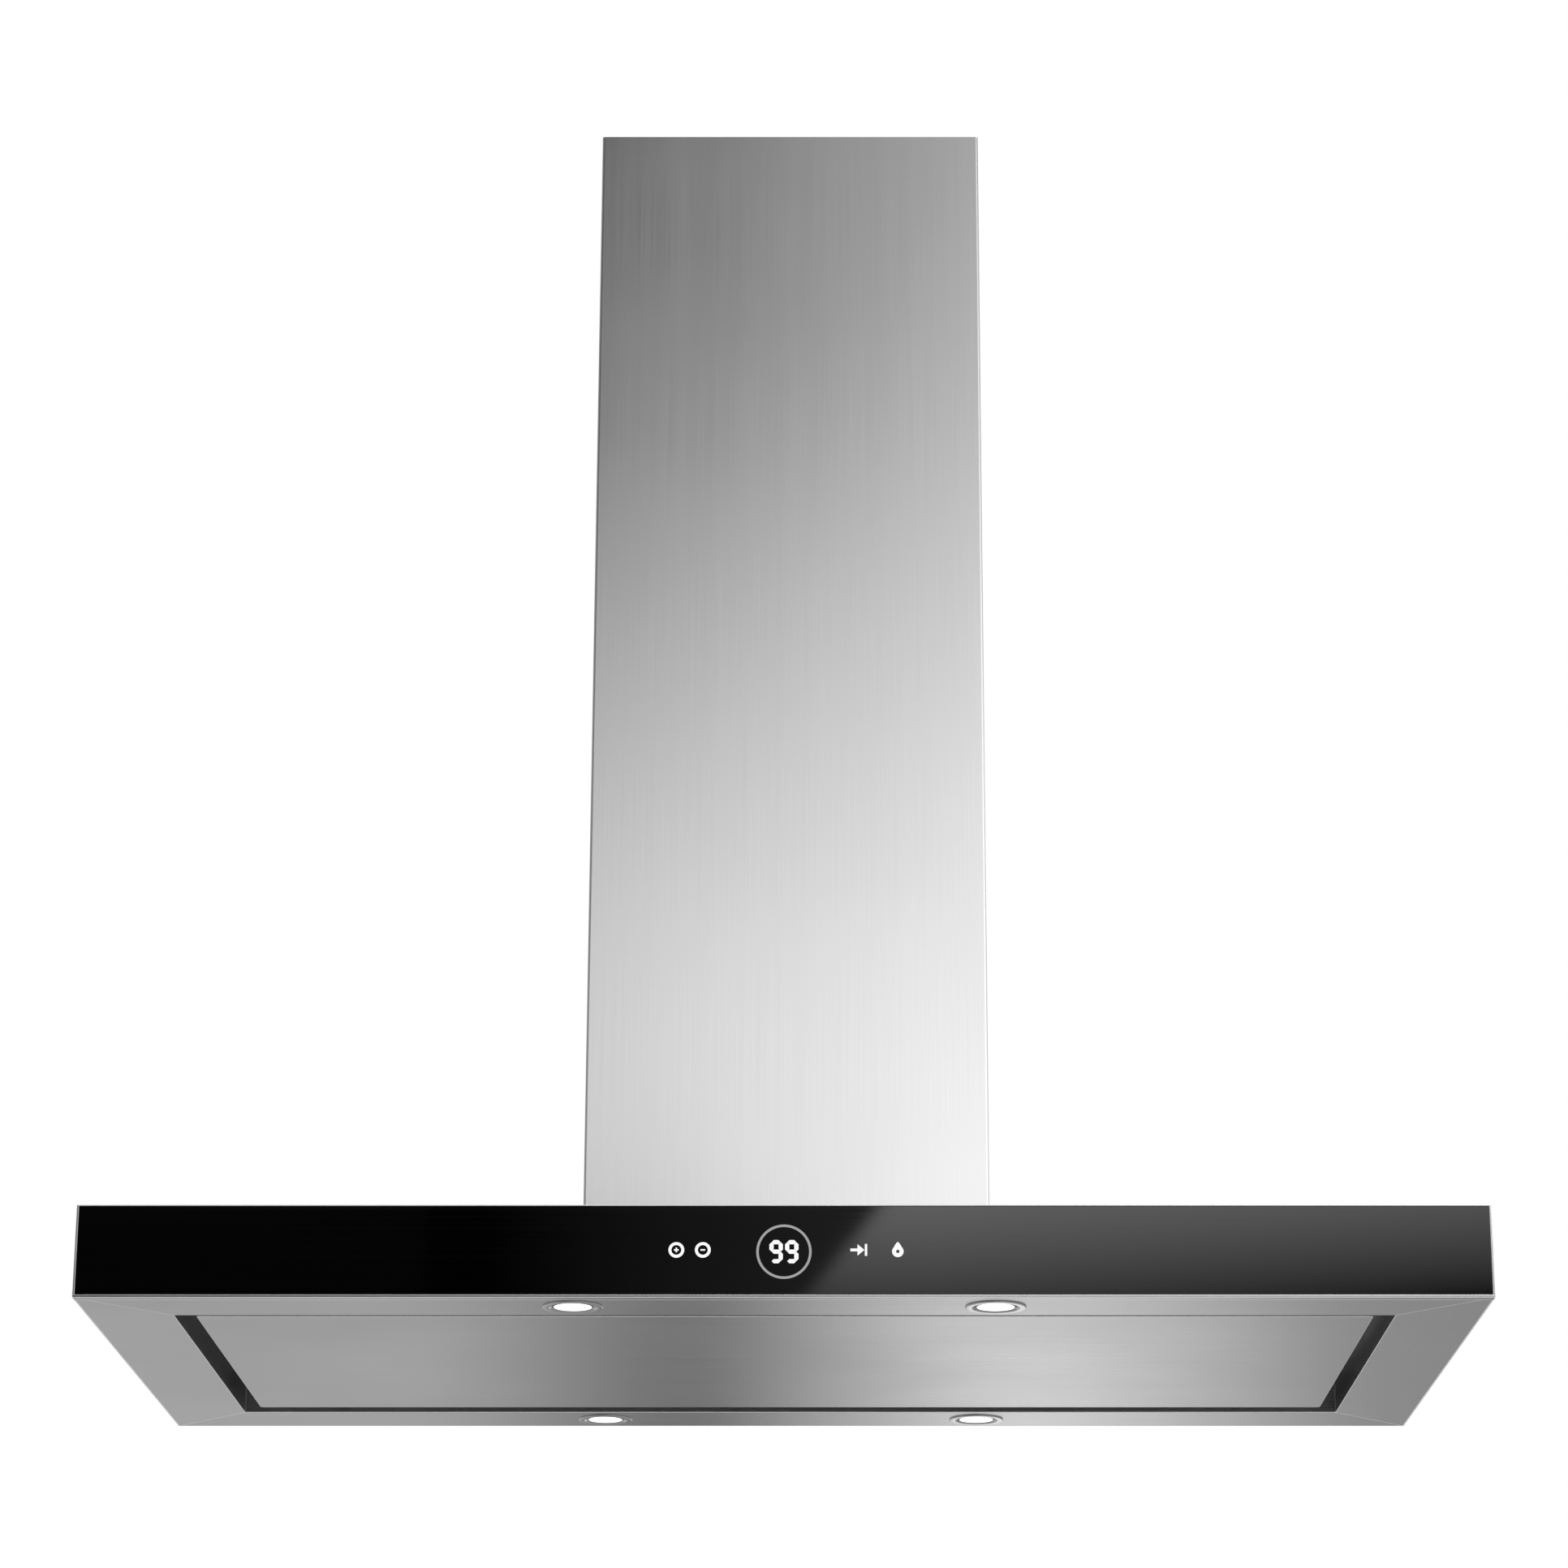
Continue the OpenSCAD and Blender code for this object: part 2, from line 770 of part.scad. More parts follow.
module scroll_housing() {
    x = scroll_half_w;
    color(zinc) {
        difference() {
            along_x(-x, x) scroll_outline(0);
            along_x(-x + scroll_wall, x - scroll_wall) scroll_outline(scroll_wall);
            block([-x + scroll_wall, -outlet_half + scroll_wall, outlet_top - 5],
                  [x - scroll_wall, outlet_half - scroll_wall, outlet_top + over]);
            translate([0, wheel_y, wheel_z]) rod_x(inlet_r, -x - over, x + over);
        }
        for (side = [-1, 1], y = [-1, 1])
            translate([side * (x - 8), scroll_y + y * 46, zt + rail_h])
                block([-8, -8, 0], [8, 8, 1.5]);
        for (side = [-1, 1], y = [-1, 1])
            block([side * (x - scroll_wall / 2) - scroll_wall / 2, scroll_y + y * 46 - 8, zt + rail_h],
                  [side * (x - scroll_wall / 2) + scroll_wall / 2, scroll_y + y * 46 + 8,
                   zt + rail_h + 30]);
    }
}

module inlet_rings() {
    lip = 6;
    color("dimgray") both_sides() translate([scroll_half_w, wheel_y, wheel_z]) rotate([0, 90, 0])
        rotate_extrude() translate([inlet_r + lip, 0]) difference() {
            circle(r = lip);
            circle(r = lip - 2);
            translate([-2 * lip, -2 * lip]) square([4 * lip, 2 * lip]);
        }
}

module blower_rails() {
    x = scroll_half_w - 8;
    color(zinc) both_sides() difference() {
        block([x - rail_w / 2, -blower_open_y - 25, zt], [x + rail_w / 2, blower_open_y + 25, zt + rail_h]);
        block([x - rail_w / 2 + 2, -blower_open_y - 25 - over, zt - over],
              [x + rail_w / 2 - 2, blower_open_y + 25 + over, zt + rail_h - 2]);
    }
}

module blower_screws() {
    color("gray") both_sides() for (y = [-1, 1])
        translate([scroll_half_w - 11, scroll_y + y * 46, zt + rail_h + 1.5]) cylinder(r = 4, h = 2.5);
}

module motor() {
    color("darkgray") translate([0, wheel_y, wheel_z]) difference() {
        union() {
            rod_x(motor_r, motor_from + 8, motor_to);
            rod_x(motor_r - 14, motor_from, motor_from + 8);
        }
        rod_x(shaft_r + shaft_clear, motor_from - over, motor_to - 20);
    }
}

module motor_bracket() {
    reach = inlet_r + 20;
    color(zinc) translate([0, wheel_y, wheel_z]) difference() {
        union() {
            rod_x(motor_r + 5, arm_x + 14, arm_x + 17);
            for (turn = [60, 180, 300]) rotate([turn, 0, 0]) {
                block([arm_x + 14, -9, 0], [arm_x + 17, 9, reach]);
                block([arm_x, -9, reach - 3], [arm_x + 17, 9, reach]);
            }
        }
        rod_x(motor_r, arm_x, arm_x + 30);
    }
}

module motor_shaft() {
    color("silver") translate([0, wheel_y, wheel_z]) rod_x(shaft_r, hub_from + hub_cap, motor_to - 22);
}

module fan_wheel() {
    half = wheel_w / 2;
    mid_r = wheel_r - blade_depth / 2;
    color("lightsteelblue") translate([0, wheel_y, wheel_z]) difference() {
        union() {
            for (x = [-half, half - ring_t]) translate([x, 0, 0]) rotate([0, 90, 0])
                ring(wheel_r, wheel_r - blade_depth, ring_t);
            rod_x(wheel_r - 1, -disc_t, 0);
            rod_x(hub_r, hub_from, hub_to);
            for (i = [0 : blades - 1]) rotate([i * 360 / blades, 0, 0])
                translate([0, 0, mid_r]) rotate([25, 0, 0])
                    cube([wheel_w - ring_t, blade_t, blade_depth - 1.5], center = true);
        }
        rod_x(shaft_r, hub_from + hub_cap, half);
    }
}

// ---- Duct collar ----

module outlet_collar() {
    inner = collar_r - collar_wall;
    color("darkslategray") translate([0, 0, outlet_top]) difference() {
        union() {
            block([-collar_flange, -collar_flange, 0], [collar_flange, collar_flange, collar_flange_t]);
            cylinder(r = collar_r, h = collar_h);
        }
        intersection() {
            translate([0, 0, -over]) cylinder(r = inner, h = collar_flange_t + 2 * over);
            block([-scroll_half_w + scroll_wall, -outlet_half + scroll_wall, -over],
                  [scroll_half_w - scroll_wall, outlet_half - scroll_wall, collar_flange_t + over]);
        }
        translate([0, 0, collar_flange_t]) cylinder(r = inner - ledge, h = collar_h);
        translate([0, 0, flap_z - outlet_top - flap_t / 2 - 0.3]) cylinder(r = inner, h = collar_h);
        translate([0, 0, flap_z - outlet_top]) rod_x(rod_r, -collar_r - over, collar_r + over);
    }
}

module damper_rod() {
    color("silver") translate([0, 0, flap_z]) rod_x(rod_r, -collar_r, collar_r);
}

// Half-round flap on the rear side, with knuckles round the rod between the given places
module damper(knuckles) {
    color("dimgray") translate([0, 0, flap_z]) difference() {
        union() {
            intersection() {
                translate([0, 0, -flap_t / 2]) cylinder(r = flap_r, h = flap_t);
                block([-flap_r, flap_gap, -flap_t], [flap_r, flap_r, flap_t]);
            }
            for (k = knuckles) {
                rod_x(knuckle_r, k[0], k[1]);
                block([k[0], 0, -flap_t / 2], [k[1], flap_gap + over, flap_t / 2]);
            }
        }
        rod_x(rod_r + rod_clear, -flap_r - over, flap_r + over);
    }
}

module damper_rear() {
    damper([[-60, -45], [45, 60]]);
}

module damper_front() {
    mirror([0, 1, 0]) damper([[-30, -15], [15, 30]]);
}

// ---- Electrical parts ----

module control_box() {
    color("dimgray") difference() {
        block(control_low, control_low + control_size);
        block(control_low + [3, 3, 3], control_low + control_size - [3, 3, 3]);
    }
}

module capacitor() {
    color("white") translate([scroll_half_w + capacitor_r, 20, terminal_z]) {
        cylinder(r = capacitor_r, h = 50);
        cylinder(r = 5, h = 56);
    }
}

module terminal_box() {
    wall = 2.5;
    low = [-scroll_half_w - terminal_size[0], -terminal_size[1] / 2, terminal_z];
    color("dimgray") difference() {
        block(low, low + terminal_size);
        block(low + [wall, wall, wall], low + terminal_size - [wall, wall, wall]);
        translate([cable_x, 0, terminal_z + terminal_size[2] - 2 * wall]) cylinder(r = 8, h = 4 * wall);
    }
}

module cable_gland() {
    color("black") translate([cable_x, 0, terminal_z + terminal_size[2]]) difference() {
        union() {
            translate([0, 0, -4]) cylinder(r = 8, h = 8);
            cylinder(r = 12, h = 7, $fn = 6);
            translate([0, 0, 7]) cylinder(r = 9, h = gland_h - 7);
        }
        translate([0, 0, -4 - over]) cylinder(r = gland_bore_r, h = gland_h + 4 + 2 * over);
    }
}

module power_cables() {
    motor_end = [motor_to, wheel_y, wheel_z];
    box_y = control_low[1] + control_size[1] / 2;
    box_top = control_low[2] + control_size[2];
    riser_x = motor_to + 28;
    motor_entry_x = control_low[0] + 60;
    mains_entry_x = control_low[0] + 30;
    color("black") {
        cable([motor_end, [riser_x, wheel_y, wheel_z], [riser_x, wheel_y, power_z],
               [motor_entry_x, wheel_y, power_z], [motor_entry_x, box_y, power_z],
               [motor_entry_x, box_y, box_top]], power_r);
        cable([[cable_x, 0, terminal_z], [cable_x, 0, power_z], [cable_x, box_y, power_z],
               [mains_entry_x, box_y, power_z], [mains_entry_x, box_y, box_top]], power_r);
    }
}

ceiling_plate();
upper_angles();
upper_straps();
flue_front();
flue_rear();
chimney_front();
chimney_rear();
seam_strips();
seam_screws();
lower_angles();
lower_straps();
clamp_bolts();
canopy_shell();
front_fascia();
front_glass();
touch_board();
display_module();
border_front();
border_rear();
border_left();
border_right();
filter_carrier();
carrier_screws();
hinge_brackets();
panel_catches();
filter_frame_left();
filter_frame_centre();
filter_frame_right();
filter_mesh_left();
filter_mesh_centre();
filter_mesh_right();
latch_left();
latch_centre();
latch_right();
panel_face();
panel_backing();
panel_lugs();
hinge_pins();
strike_plates();
lamp_bezels();
lamp_lenses();
lamp_bodies();
lamp_cable();
scroll_housing();
inlet_rings();
blower_rails();
blower_screws();
motor();
motor_bracket();
motor_shaft();
fan_wheel();
outlet_collar();
damper_rod();
damper_front();
damper_rear();
control_box();
capacitor();
terminal_box();
cable_gland();
power_cables();
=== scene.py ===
"""Looks of the island range hood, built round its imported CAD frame. Lengths are in metres."""
import math

import bmesh
import bpy
from mathutils import Matrix, Vector


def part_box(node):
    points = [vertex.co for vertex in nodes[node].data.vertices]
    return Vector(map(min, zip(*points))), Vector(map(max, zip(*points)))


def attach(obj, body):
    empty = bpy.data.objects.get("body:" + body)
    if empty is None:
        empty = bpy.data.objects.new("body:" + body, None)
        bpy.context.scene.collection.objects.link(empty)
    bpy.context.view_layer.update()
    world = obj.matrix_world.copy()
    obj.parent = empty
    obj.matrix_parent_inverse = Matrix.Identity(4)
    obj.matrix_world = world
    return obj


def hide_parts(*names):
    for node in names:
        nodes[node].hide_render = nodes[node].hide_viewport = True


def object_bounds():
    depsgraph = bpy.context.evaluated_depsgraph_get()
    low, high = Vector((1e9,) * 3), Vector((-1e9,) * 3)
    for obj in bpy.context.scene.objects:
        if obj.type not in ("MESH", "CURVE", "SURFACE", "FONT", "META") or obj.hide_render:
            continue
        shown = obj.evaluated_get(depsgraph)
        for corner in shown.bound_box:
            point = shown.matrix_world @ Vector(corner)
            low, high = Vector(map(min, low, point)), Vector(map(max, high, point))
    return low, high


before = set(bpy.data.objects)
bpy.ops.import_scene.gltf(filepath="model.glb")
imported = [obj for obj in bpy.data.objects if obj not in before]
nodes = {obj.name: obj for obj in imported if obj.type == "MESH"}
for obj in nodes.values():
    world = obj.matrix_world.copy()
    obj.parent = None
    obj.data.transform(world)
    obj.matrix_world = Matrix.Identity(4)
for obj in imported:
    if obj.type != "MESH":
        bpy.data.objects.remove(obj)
cad_low, cad_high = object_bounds()
MM = 0.001

# Driving places and sizes
glass_low, glass_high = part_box("front_glass")
lens_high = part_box("lamp_lenses")[1]
bezel_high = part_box("lamp_bezels")[1]
canopy_low, canopy_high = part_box("canopy_shell")
face_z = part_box("border_front")[0].z
lens_r = 17.5 * MM
bezel_r = 26 * MM
lamp_x = bezel_high.x - bezel_r
lamp_y = bezel_high.y - bezel_r


# ---- Material building ----

class Nodes:
    """The node tree of a material or of the world, with short calls for what they share."""

    def __init__(self, owner):
        owner.use_nodes = True
        self.tree = owner.node_tree
        self.tree.nodes.clear()
        self.coordinates = self.node("ShaderNodeTexCoord").outputs
        self.place = self.coordinates["Object"]

    def set(self, node, name, value):
        """Links a socket to another, or sets its value."""
        socket = node.inputs[name]
        if isinstance(value, bpy.types.NodeSocket):
            self.tree.links.new(value, socket)
        else:
            socket.default_value = value

    def node(self, kind, inputs=None, **settings):
        """Adds a node, with its settings first and then its inputs."""
        made = self.tree.nodes.new(kind)
        for key, value in settings.items():
            setattr(made, key, value)
        for key, value in (inputs or {}).items():
            self.set(made, key, value)
        return made

    def axes(self, letters):
        """The chosen coordinates of the place that is shaded."""
        parts = self.node("ShaderNodeSeparateXYZ", {"Vector": self.place}).outputs
        return [parts[letter] for letter in letters]

    def scaled(self, scale):
        return self.node("ShaderNodeMapping", {"Vector": self.place, "Scale": scale}).outputs["Vector"]

    def noise(self, scale, detail=2.0, rough=0.5):
        """Noise whose grains per metre may differ along X, Y and Z."""
        inputs = {"Vector": self.scaled(scale), "Scale": 1.0, "Detail": detail, "Roughness": rough}
        return self.node("ShaderNodeTexNoise", inputs).outputs["Fac"]

    def speckle(self, grains, detail=2.0, rough=0.5):
        """Noise with the same number of grains per metre every way."""
        return self.noise((grains,) * 3, detail, rough)

    def cells(self, grains):
        """Cells of varied colours, so many per metre."""
        inputs = {"Vector": self.scaled((grains,) * 3), "Scale": 1.0}
        return self.node("ShaderNodeTexVoronoi", inputs).outputs["Color"]

    def span(self, value, start, end, low=0.0, high=1.0, kind="LINEAR"):
        """Maps value from start..end to low..high."""
        inputs = {"Value": value, "From Min": start, "From Max": end, "To Min": low, "To Max": high}
        return self.node("ShaderNodeMapRange", inputs, interpolation_type=kind).outputs["Result"]

    def smooth(self, value, start, end, low=0.0, high=1.0):
        """Like span, but with soft ends."""
        return self.span(value, start, end, low, high, "SMOOTHSTEP")

    def math(self, operation, a, b=0.0):
        return self.node("ShaderNodeMath", {0: a, 1: b}, operation=operation).outputs[0]

    def blend(self, share, a, b):
        """Mixes two numbers by share."""
        return self.math("ADD", self.math("MULTIPLY", self.math("SUBTRACT", b, a), share), a)

    def ramp(self, value, *stops):
        """Colour by value: each stop is (position, (r, g, b))."""
        made = self.node("ShaderNodeValToRGB", {"Fac": value})
        elements = made.color_ramp.elements
        while len(elements) < len(stops):
            elements.new(0.5)
        for element, (position, colour) in zip(elements, stops):
            element.position = position
            element.color = (*colour, 1)
        return made.outputs["Color"]


class Finish(Nodes):
    """A surface finish: a Principled shader and what drives it."""

    def __init__(self, name, metallic=0.0, roughness=0.5, colour=(0.5, 0.5, 0.5)):
        self.material = bpy.data.materials.new(name)
        super().__init__(self.material)
        base = {"Metallic": metallic, "Roughness": roughness, "Base Color": (*colour, 1)}
        self.shader = self.node("ShaderNodeBsdfPrincipled", base)
        self.node("ShaderNodeOutputMaterial", {"Surface": self.shader.outputs[0]})

    def bump(self, height, depth, strength):
        """Roughens the surface: depth is the height's full range in metres."""
        made = self.node("ShaderNodeBump", {"Height": height, "Distance": depth, "Strength": strength})
        self.set(self.shader, "Normal", made.outputs["Normal"])

    def colour(self, value):
        """Drives the base colour."""
        self.set(self.shader, "Base Color", value)

    def roughness(self, value):
        """Drives the roughness."""
        self.set(self.shader, "Roughness", value)

    def stretch(self, axis, amount):
        """Stretches highlights across a grain, round the given axis of the piece."""
        tangent = self.node("ShaderNodeTangent", direction_type="RADIAL", axis=axis)
        self.set(self.shader, "Tangent", tangent.outputs["Tangent"])
        self.set(self.shader, "Anisotropic", amount)


def tint(level, warmth=0.0):
    """A grey, a little warmer or, with a negative warmth, cooler."""
    return (level * (1 + warmth), level, level * (1 - warmth))


def brush_marks(steel, axis):
    """Fine scratches and broad streaks along one axis. The numbers are grains per metre."""
    fine_across, broad_across = 1800, 90
    fine_along, broad_along = 5, 1.25
    fine = tuple(fine_along if axis == letter else fine_across for letter in "XYZ")
    broad = tuple(broad_along if axis == letter else broad_across for letter in "XYZ")
    return steel.noise(fine, detail=3), steel.noise(broad, detail=2)


def brushed_steel(name, axis, level=0.62, rough=0.3, stretch=0.6, sides=None, metallic=1.0):
    """Brushed stainless steel with its grain along axis, or along sides on faces towards X."""
    vary = 0.05
    broad_share = 0.2
    steel = Finish(name, metallic=metallic)
    fine, broad = brush_marks(steel, axis)
    if sides:
        normal = steel.coordinates["Normal"]
        facing = steel.node("ShaderNodeSeparateXYZ", {"Vector": normal}).outputs["X"]
        share = steel.math("ABSOLUTE", facing)
        side_fine, side_broad = brush_marks(steel, sides)
        fine = steel.blend(share, fine, side_fine)
        broad = steel.blend(share, broad, side_broad)
    streaks = steel.blend(broad_share, fine, broad)
    handling = steel.speckle(3, detail=3)
    worn = steel.math("ADD", streaks, handling)
    steel.colour(steel.ramp(streaks, (0.3, tint(level * (1 - vary))), (0.7, tint(level * (1 + vary)))))
    steel.roughness(steel.span(worn, 0.7, 1.3, rough - vary, rough + vary))
    steel.bump(fine, 0.02 * MM, 0.2)
    steel.stretch(axis, stretch)
    return steel.material


def galvanised_steel():
    """Hot-dipped sheet: flat zinc crystals of slightly different greys."""
    zinc = Finish("galvanised", metallic=0.9)
    crystal = zinc.cells(75)
    grey = zinc.node("ShaderNodeSeparateColor", {"Color": crystal}).outputs["Red"]
    soft = zinc.speckle(60, detail=4)
    mixed = zinc.blend(0.45, grey, soft)
    zinc.colour(zinc.ramp(mixed, (0.1, (0.5, 0.51, 0.52)), (0.9, (0.66, 0.67, 0.68))))
    zinc.roughness(zinc.span(mixed, 0, 1, 0.34, 0.52))
    zinc.bump(soft, 0.05 * MM, 0.3)
    return zinc.material


def zinc_plating():
    """Bright plating on screws and bolts, duller where tools have rubbed it."""
    plate = Finish("zinc_plating", metallic=1.0)
    rub = plate.speckle(700, detail=3)
    plate.colour(plate.ramp(rub, (0.3, (0.46, 0.46, 0.47)), (0.7, (0.68, 0.68, 0.66))))
    plate.roughness(plate.span(rub, 0.3, 0.7, 0.22, 0.4))
    plate.bump(rub, 0.03 * MM, 0.3)
    return plate.material


def black_glass():
    """Toughened glass printed black on its back: a clean gloss over a very fine horizontal texture."""
    glass = Finish("black_glass", roughness=0.05)
    lines = glass.noise((2, 900, 900), detail=3)
    glass.colour(glass.ramp(lines, (0.35, (0.0002,) * 3), (0.75, (0.0012,) * 3)))
    glass.roughness(glass.span(lines, 0.3, 0.8, 0.035, 0.09))
    glass.set(glass.shader, "IOR", 1.5)
    return glass.material


def moulded_plastic(name, colour, rough=0.5):
    """Moulded plastic with a fine spark-eroded texture."""
    shell = Finish(name)
    grain = shell.speckle(1500, detail=2)
    flow = shell.speckle(14, detail=2)
    low = tuple(c * 0.85 for c in colour)
    high = tuple(min(c * 1.15, 1) for c in colour)
    shell.colour(shell.ramp(flow, (0.3, low), (0.7, high)))
    shell.roughness(shell.span(grain, 0.3, 0.7, rough - 0.08, rough + 0.08))
    shell.bump(grain, 0.03 * MM, 0.5)
    return shell.material


def aluminium(name, level, rough, scale, depth):
    """Aluminium whose surface varies at the given grains per metre."""
    metal = Finish(name, metallic=1.0)
    grain = metal.noise(scale, detail=4)
    metal.colour(metal.ramp(grain, (0.3, tint(level * 0.88, -0.01)), (0.7, tint(level * 1.08, -0.01))))
    metal.roughness(metal.span(grain, 0.3, 0.7, rough - 0.07, rough + 0.07))
    metal.bump(grain, depth, 0.5)
    return metal.material


def circuit_board():
    """Green solder resist over copper tracks."""
    board = Finish("circuit_board", roughness=0.35)
    tracks = board.node("ShaderNodeTexBrick", {
        "Vector": board.scaled((160, 1, 160)),
        "Scale": 1.0,
        "Mortar Size": 0.12,
        "Color1": (0.01, 0.09, 0.035, 1),
        "Color2": (0.012, 0.12, 0.045, 1),
        "Mortar": (0.03, 0.2, 0.08, 1),
    })
    board.colour(tracks.outputs["Color"])
    board.bump(tracks.outputs["Fac"], 0.03 * MM, 0.5)
    return board.material


def frosted_lens():
    """A lit, frosted lens: even and bright, with a narrow rim where its glow stops and its colour is
    painted near black: painted shade of the groove round the lens.
    """
    lit_to, rim_from = 0.89, 0.95
    white = (0.9, 0.9, 0.88)
    lens = Finish("frosted_lens", roughness=0.35, colour=white)
    x, y = lens.axes("XY")
    across = lens.math("SUBTRACT", lens.math("ABSOLUTE", x), lamp_x)
    deep = lens.math("SUBTRACT", lens.math("ABSOLUTE", y), lamp_y)
    square = lens.math("ADD", lens.math("MULTIPLY", across, across), lens.math("MULTIPLY", deep, deep))
    away = lens.math("DIVIDE", lens.math("SQRT", square), lens_r)
    centre, edge, unlit = (1.0, 1.0, 0.98), (0.97, 0.96, 0.93), (0.02,) * 3
    glow = lens.ramp(away, (0.0, centre), (lit_to, edge), (rim_from, unlit))
    # Painted shade: the rim's colour goes near black, for the shaded groove round the lens
    lens.colour(lens.ramp(away, (lit_to, white), (rim_from, (0.03,) * 3)))
    lens.set(lens.shader, "Emission Color", glow)
    lens.set(lens.shader, "Emission Strength", 1.15)
    lens.bump(lens.speckle(900), 0.03 * MM, 0.4)
    return lens.material


def motor_paint():
    """Grey stoved paint with a slight orange peel and a few worn spots."""
    paint = Finish("motor_paint", metallic=0.2)
    peel = paint.speckle(350, detail=2)
    wear = paint.speckle(45, detail=5, rough=0.7)
    dark, grey, bare = (0.11, 0.115, 0.12), (0.15, 0.155, 0.16), (0.3, 0.3, 0.3)
    paint.colour(paint.ramp(wear, (0.3, dark), (0.66, grey), (0.74, bare)))
    paint.roughness(paint.span(peel, 0.3, 0.7, 0.3, 0.42))
    paint.bump(peel, 0.06 * MM, 0.5)
    return paint.material


def cable_sheath():
    """Black rubber sheath with faint dust."""
    rubber = Finish("cable_sheath")
    dust = rubber.speckle(240, detail=3)
    rubber.colour(rubber.ramp(dust, (0.4, (0.012,) * 3), (0.75, (0.03,) * 3)))
    rubber.roughness(rubber.span(dust, 0.3, 0.7, 0.55, 0.75))
    rubber.bump(dust, 0.04 * MM, 0.5)
    return rubber.material


def lit_sign(name, level):
    """A sign's light, a little uneven."""
    sign = Finish(name, roughness=0.3, colour=(level * 0.1,) * 3)
    uneven = sign.speckle(700, detail=2)
    light = sign.ramp(uneven, (0.2, (level * 0.94,) * 3), (0.8, (level,) * 3))
    sign.set(sign.shader, "Emission Color", light)
    sign.set(sign.shader, "Emission Strength", 1.0)
    return sign.material


# ---- Finishes of the CAD nodes ----

def dress(finish, names):
    """Gives a finish to CAD nodes."""
    for name in names.split():
        slots = nodes[name].material_slots
        for material_slot in slots:
            material_slot.material = finish
        if not slots:
            nodes[name].data.materials.append(finish)


# The chimney's steel is a lighter copy of the same steel (level 0.85 against 0.62): painted light
steel_upright_painted_lighter = brushed_steel("steel_upright_painted_lighter", "Z", level=0.85, rough=0.36, stretch=0.75)
steel_x = brushed_steel("steel_grain_x", "X", rough=0.3)
# The side borders' steel is a darker copy of the same steel (level 0.56 against 0.62): painted shade
steel_y_painted_darker = brushed_steel("steel_grain_y_painted_darker", "Y", level=0.56, rough=0.3, stretch=0.0)
# Painted highlight: a light, half-metallic finish on the rounded edges, so that they show as light
# lines whatever they reflect
painted_edge_highlight = brushed_steel("painted_edge_highlight", "X", level=0.92, rough=0.4, stretch=0.0, metallic=0.5)
steel_shell = brushed_steel("steel_shell", "X", rough=0.32, sides="Y")
zinc_sheet = galvanised_steel()
plating = zinc_plating()
plastic = moulded_plastic("black_plastic", (0.022, 0.022, 0.024))
cast = aluminium("cast_aluminium", 0.5, 0.5, (500, 500, 500), 0.08 * MM)
extruded = aluminium("filter_frame", 0.66, 0.34, (6, 1200, 1200), 0.02 * MM)
foil = aluminium("filter_mesh", 0.6, 0.4, (380, 380, 380), 0.05 * MM)
pressed = aluminium("fan_sheet", 0.55, 0.4, (160, 160, 160), 0.04 * MM)
ground = aluminium("ground_shaft", 0.6, 0.25, (60, 1500, 1500), 0.01 * MM)
satin = aluminium("bezel_satin", 0.6, 0.2, (1200, 1200, 40), 0.01 * MM)
sheath = cable_sheath()
lens_finish = frosted_lens()

dress(steel_upright_painted_lighter, "chimney_front chimney_rear flue_front flue_rear")
dress(steel_x, "front_fascia border_front border_rear panel_face")
dress(steel_y_painted_darker, "border_left border_right")
dress(steel_shell, "canopy_shell")
dress(zinc_sheet, "ceiling_plate upper_angles upper_straps seam_strips lower_angles lower_straps")
dress(zinc_sheet, "filter_carrier hinge_brackets panel_backing panel_lugs scroll_housing blower_rails")
dress(zinc_sheet, "motor_bracket")
dress(plating, "clamp_bolts hinge_pins strike_plates seam_screws carrier_screws blower_screws")
dress(black_glass(), "front_glass")
dress(circuit_board(), "touch_board")
dress(plastic, "display_module latch_left latch_centre latch_right panel_catches outlet_collar")
dress(plastic, "damper_front damper_rear control_box terminal_box cable_gland inlet_rings")
dress(extruded, "filter_frame_left filter_frame_centre filter_frame_right")
dress(foil, "filter_mesh_left filter_mesh_centre filter_mesh_right")
dress(satin, "lamp_bezels")
dress(lens_finish, "lamp_lenses")
dress(cast, "lamp_bodies")
dress(sheath, "lamp_cable power_cables")
dress(motor_paint(), "motor")
dress(ground, "motor_shaft damper_rod")
dress(pressed, "fan_wheel")
dress(moulded_plastic("capacitor_shell", (0.7, 0.7, 0.66), 0.4), "capacitor")


# ---- Edges of the CAD nodes ----

SHARP = math.radians(40)


def round_edges(piece, width, segments=2, edge=None):
    """Rounds a piece's sharp edges. They can have a finish of their own, edge."""
    round_over = piece.modifiers.new("round_over", "BEVEL")
    round_over.width = width
    round_over.segments = segments
    round_over.limit_method = "ANGLE"
    round_over.angle_limit = SHARP
    if edge:
        piece.data.materials.append(edge)
        round_over.material = len(piece.data.materials) - 1
    piece.modifiers.new("normals", "WEIGHTED_NORMAL")


def soften(name, width, segments=2, edge=None):
    """Welds a CAD node's facets, joins those that lie flat together and rounds its sharp edges."""
    piece = nodes[name]
    weld = piece.modifiers.new("weld", "WELD")
    weld.merge_threshold = 0.01 * MM
    flat = piece.modifiers.new("flat", "DECIMATE")
    flat.decimate_type = "DISSOLVE"
    flat.angle_limit = math.radians(0.5)
    round_edges(piece, width, segments, edge)


for name in ("chimney_front", "chimney_rear", "flue_front", "flue_rear"):
    soften(name, 0.25 * MM)
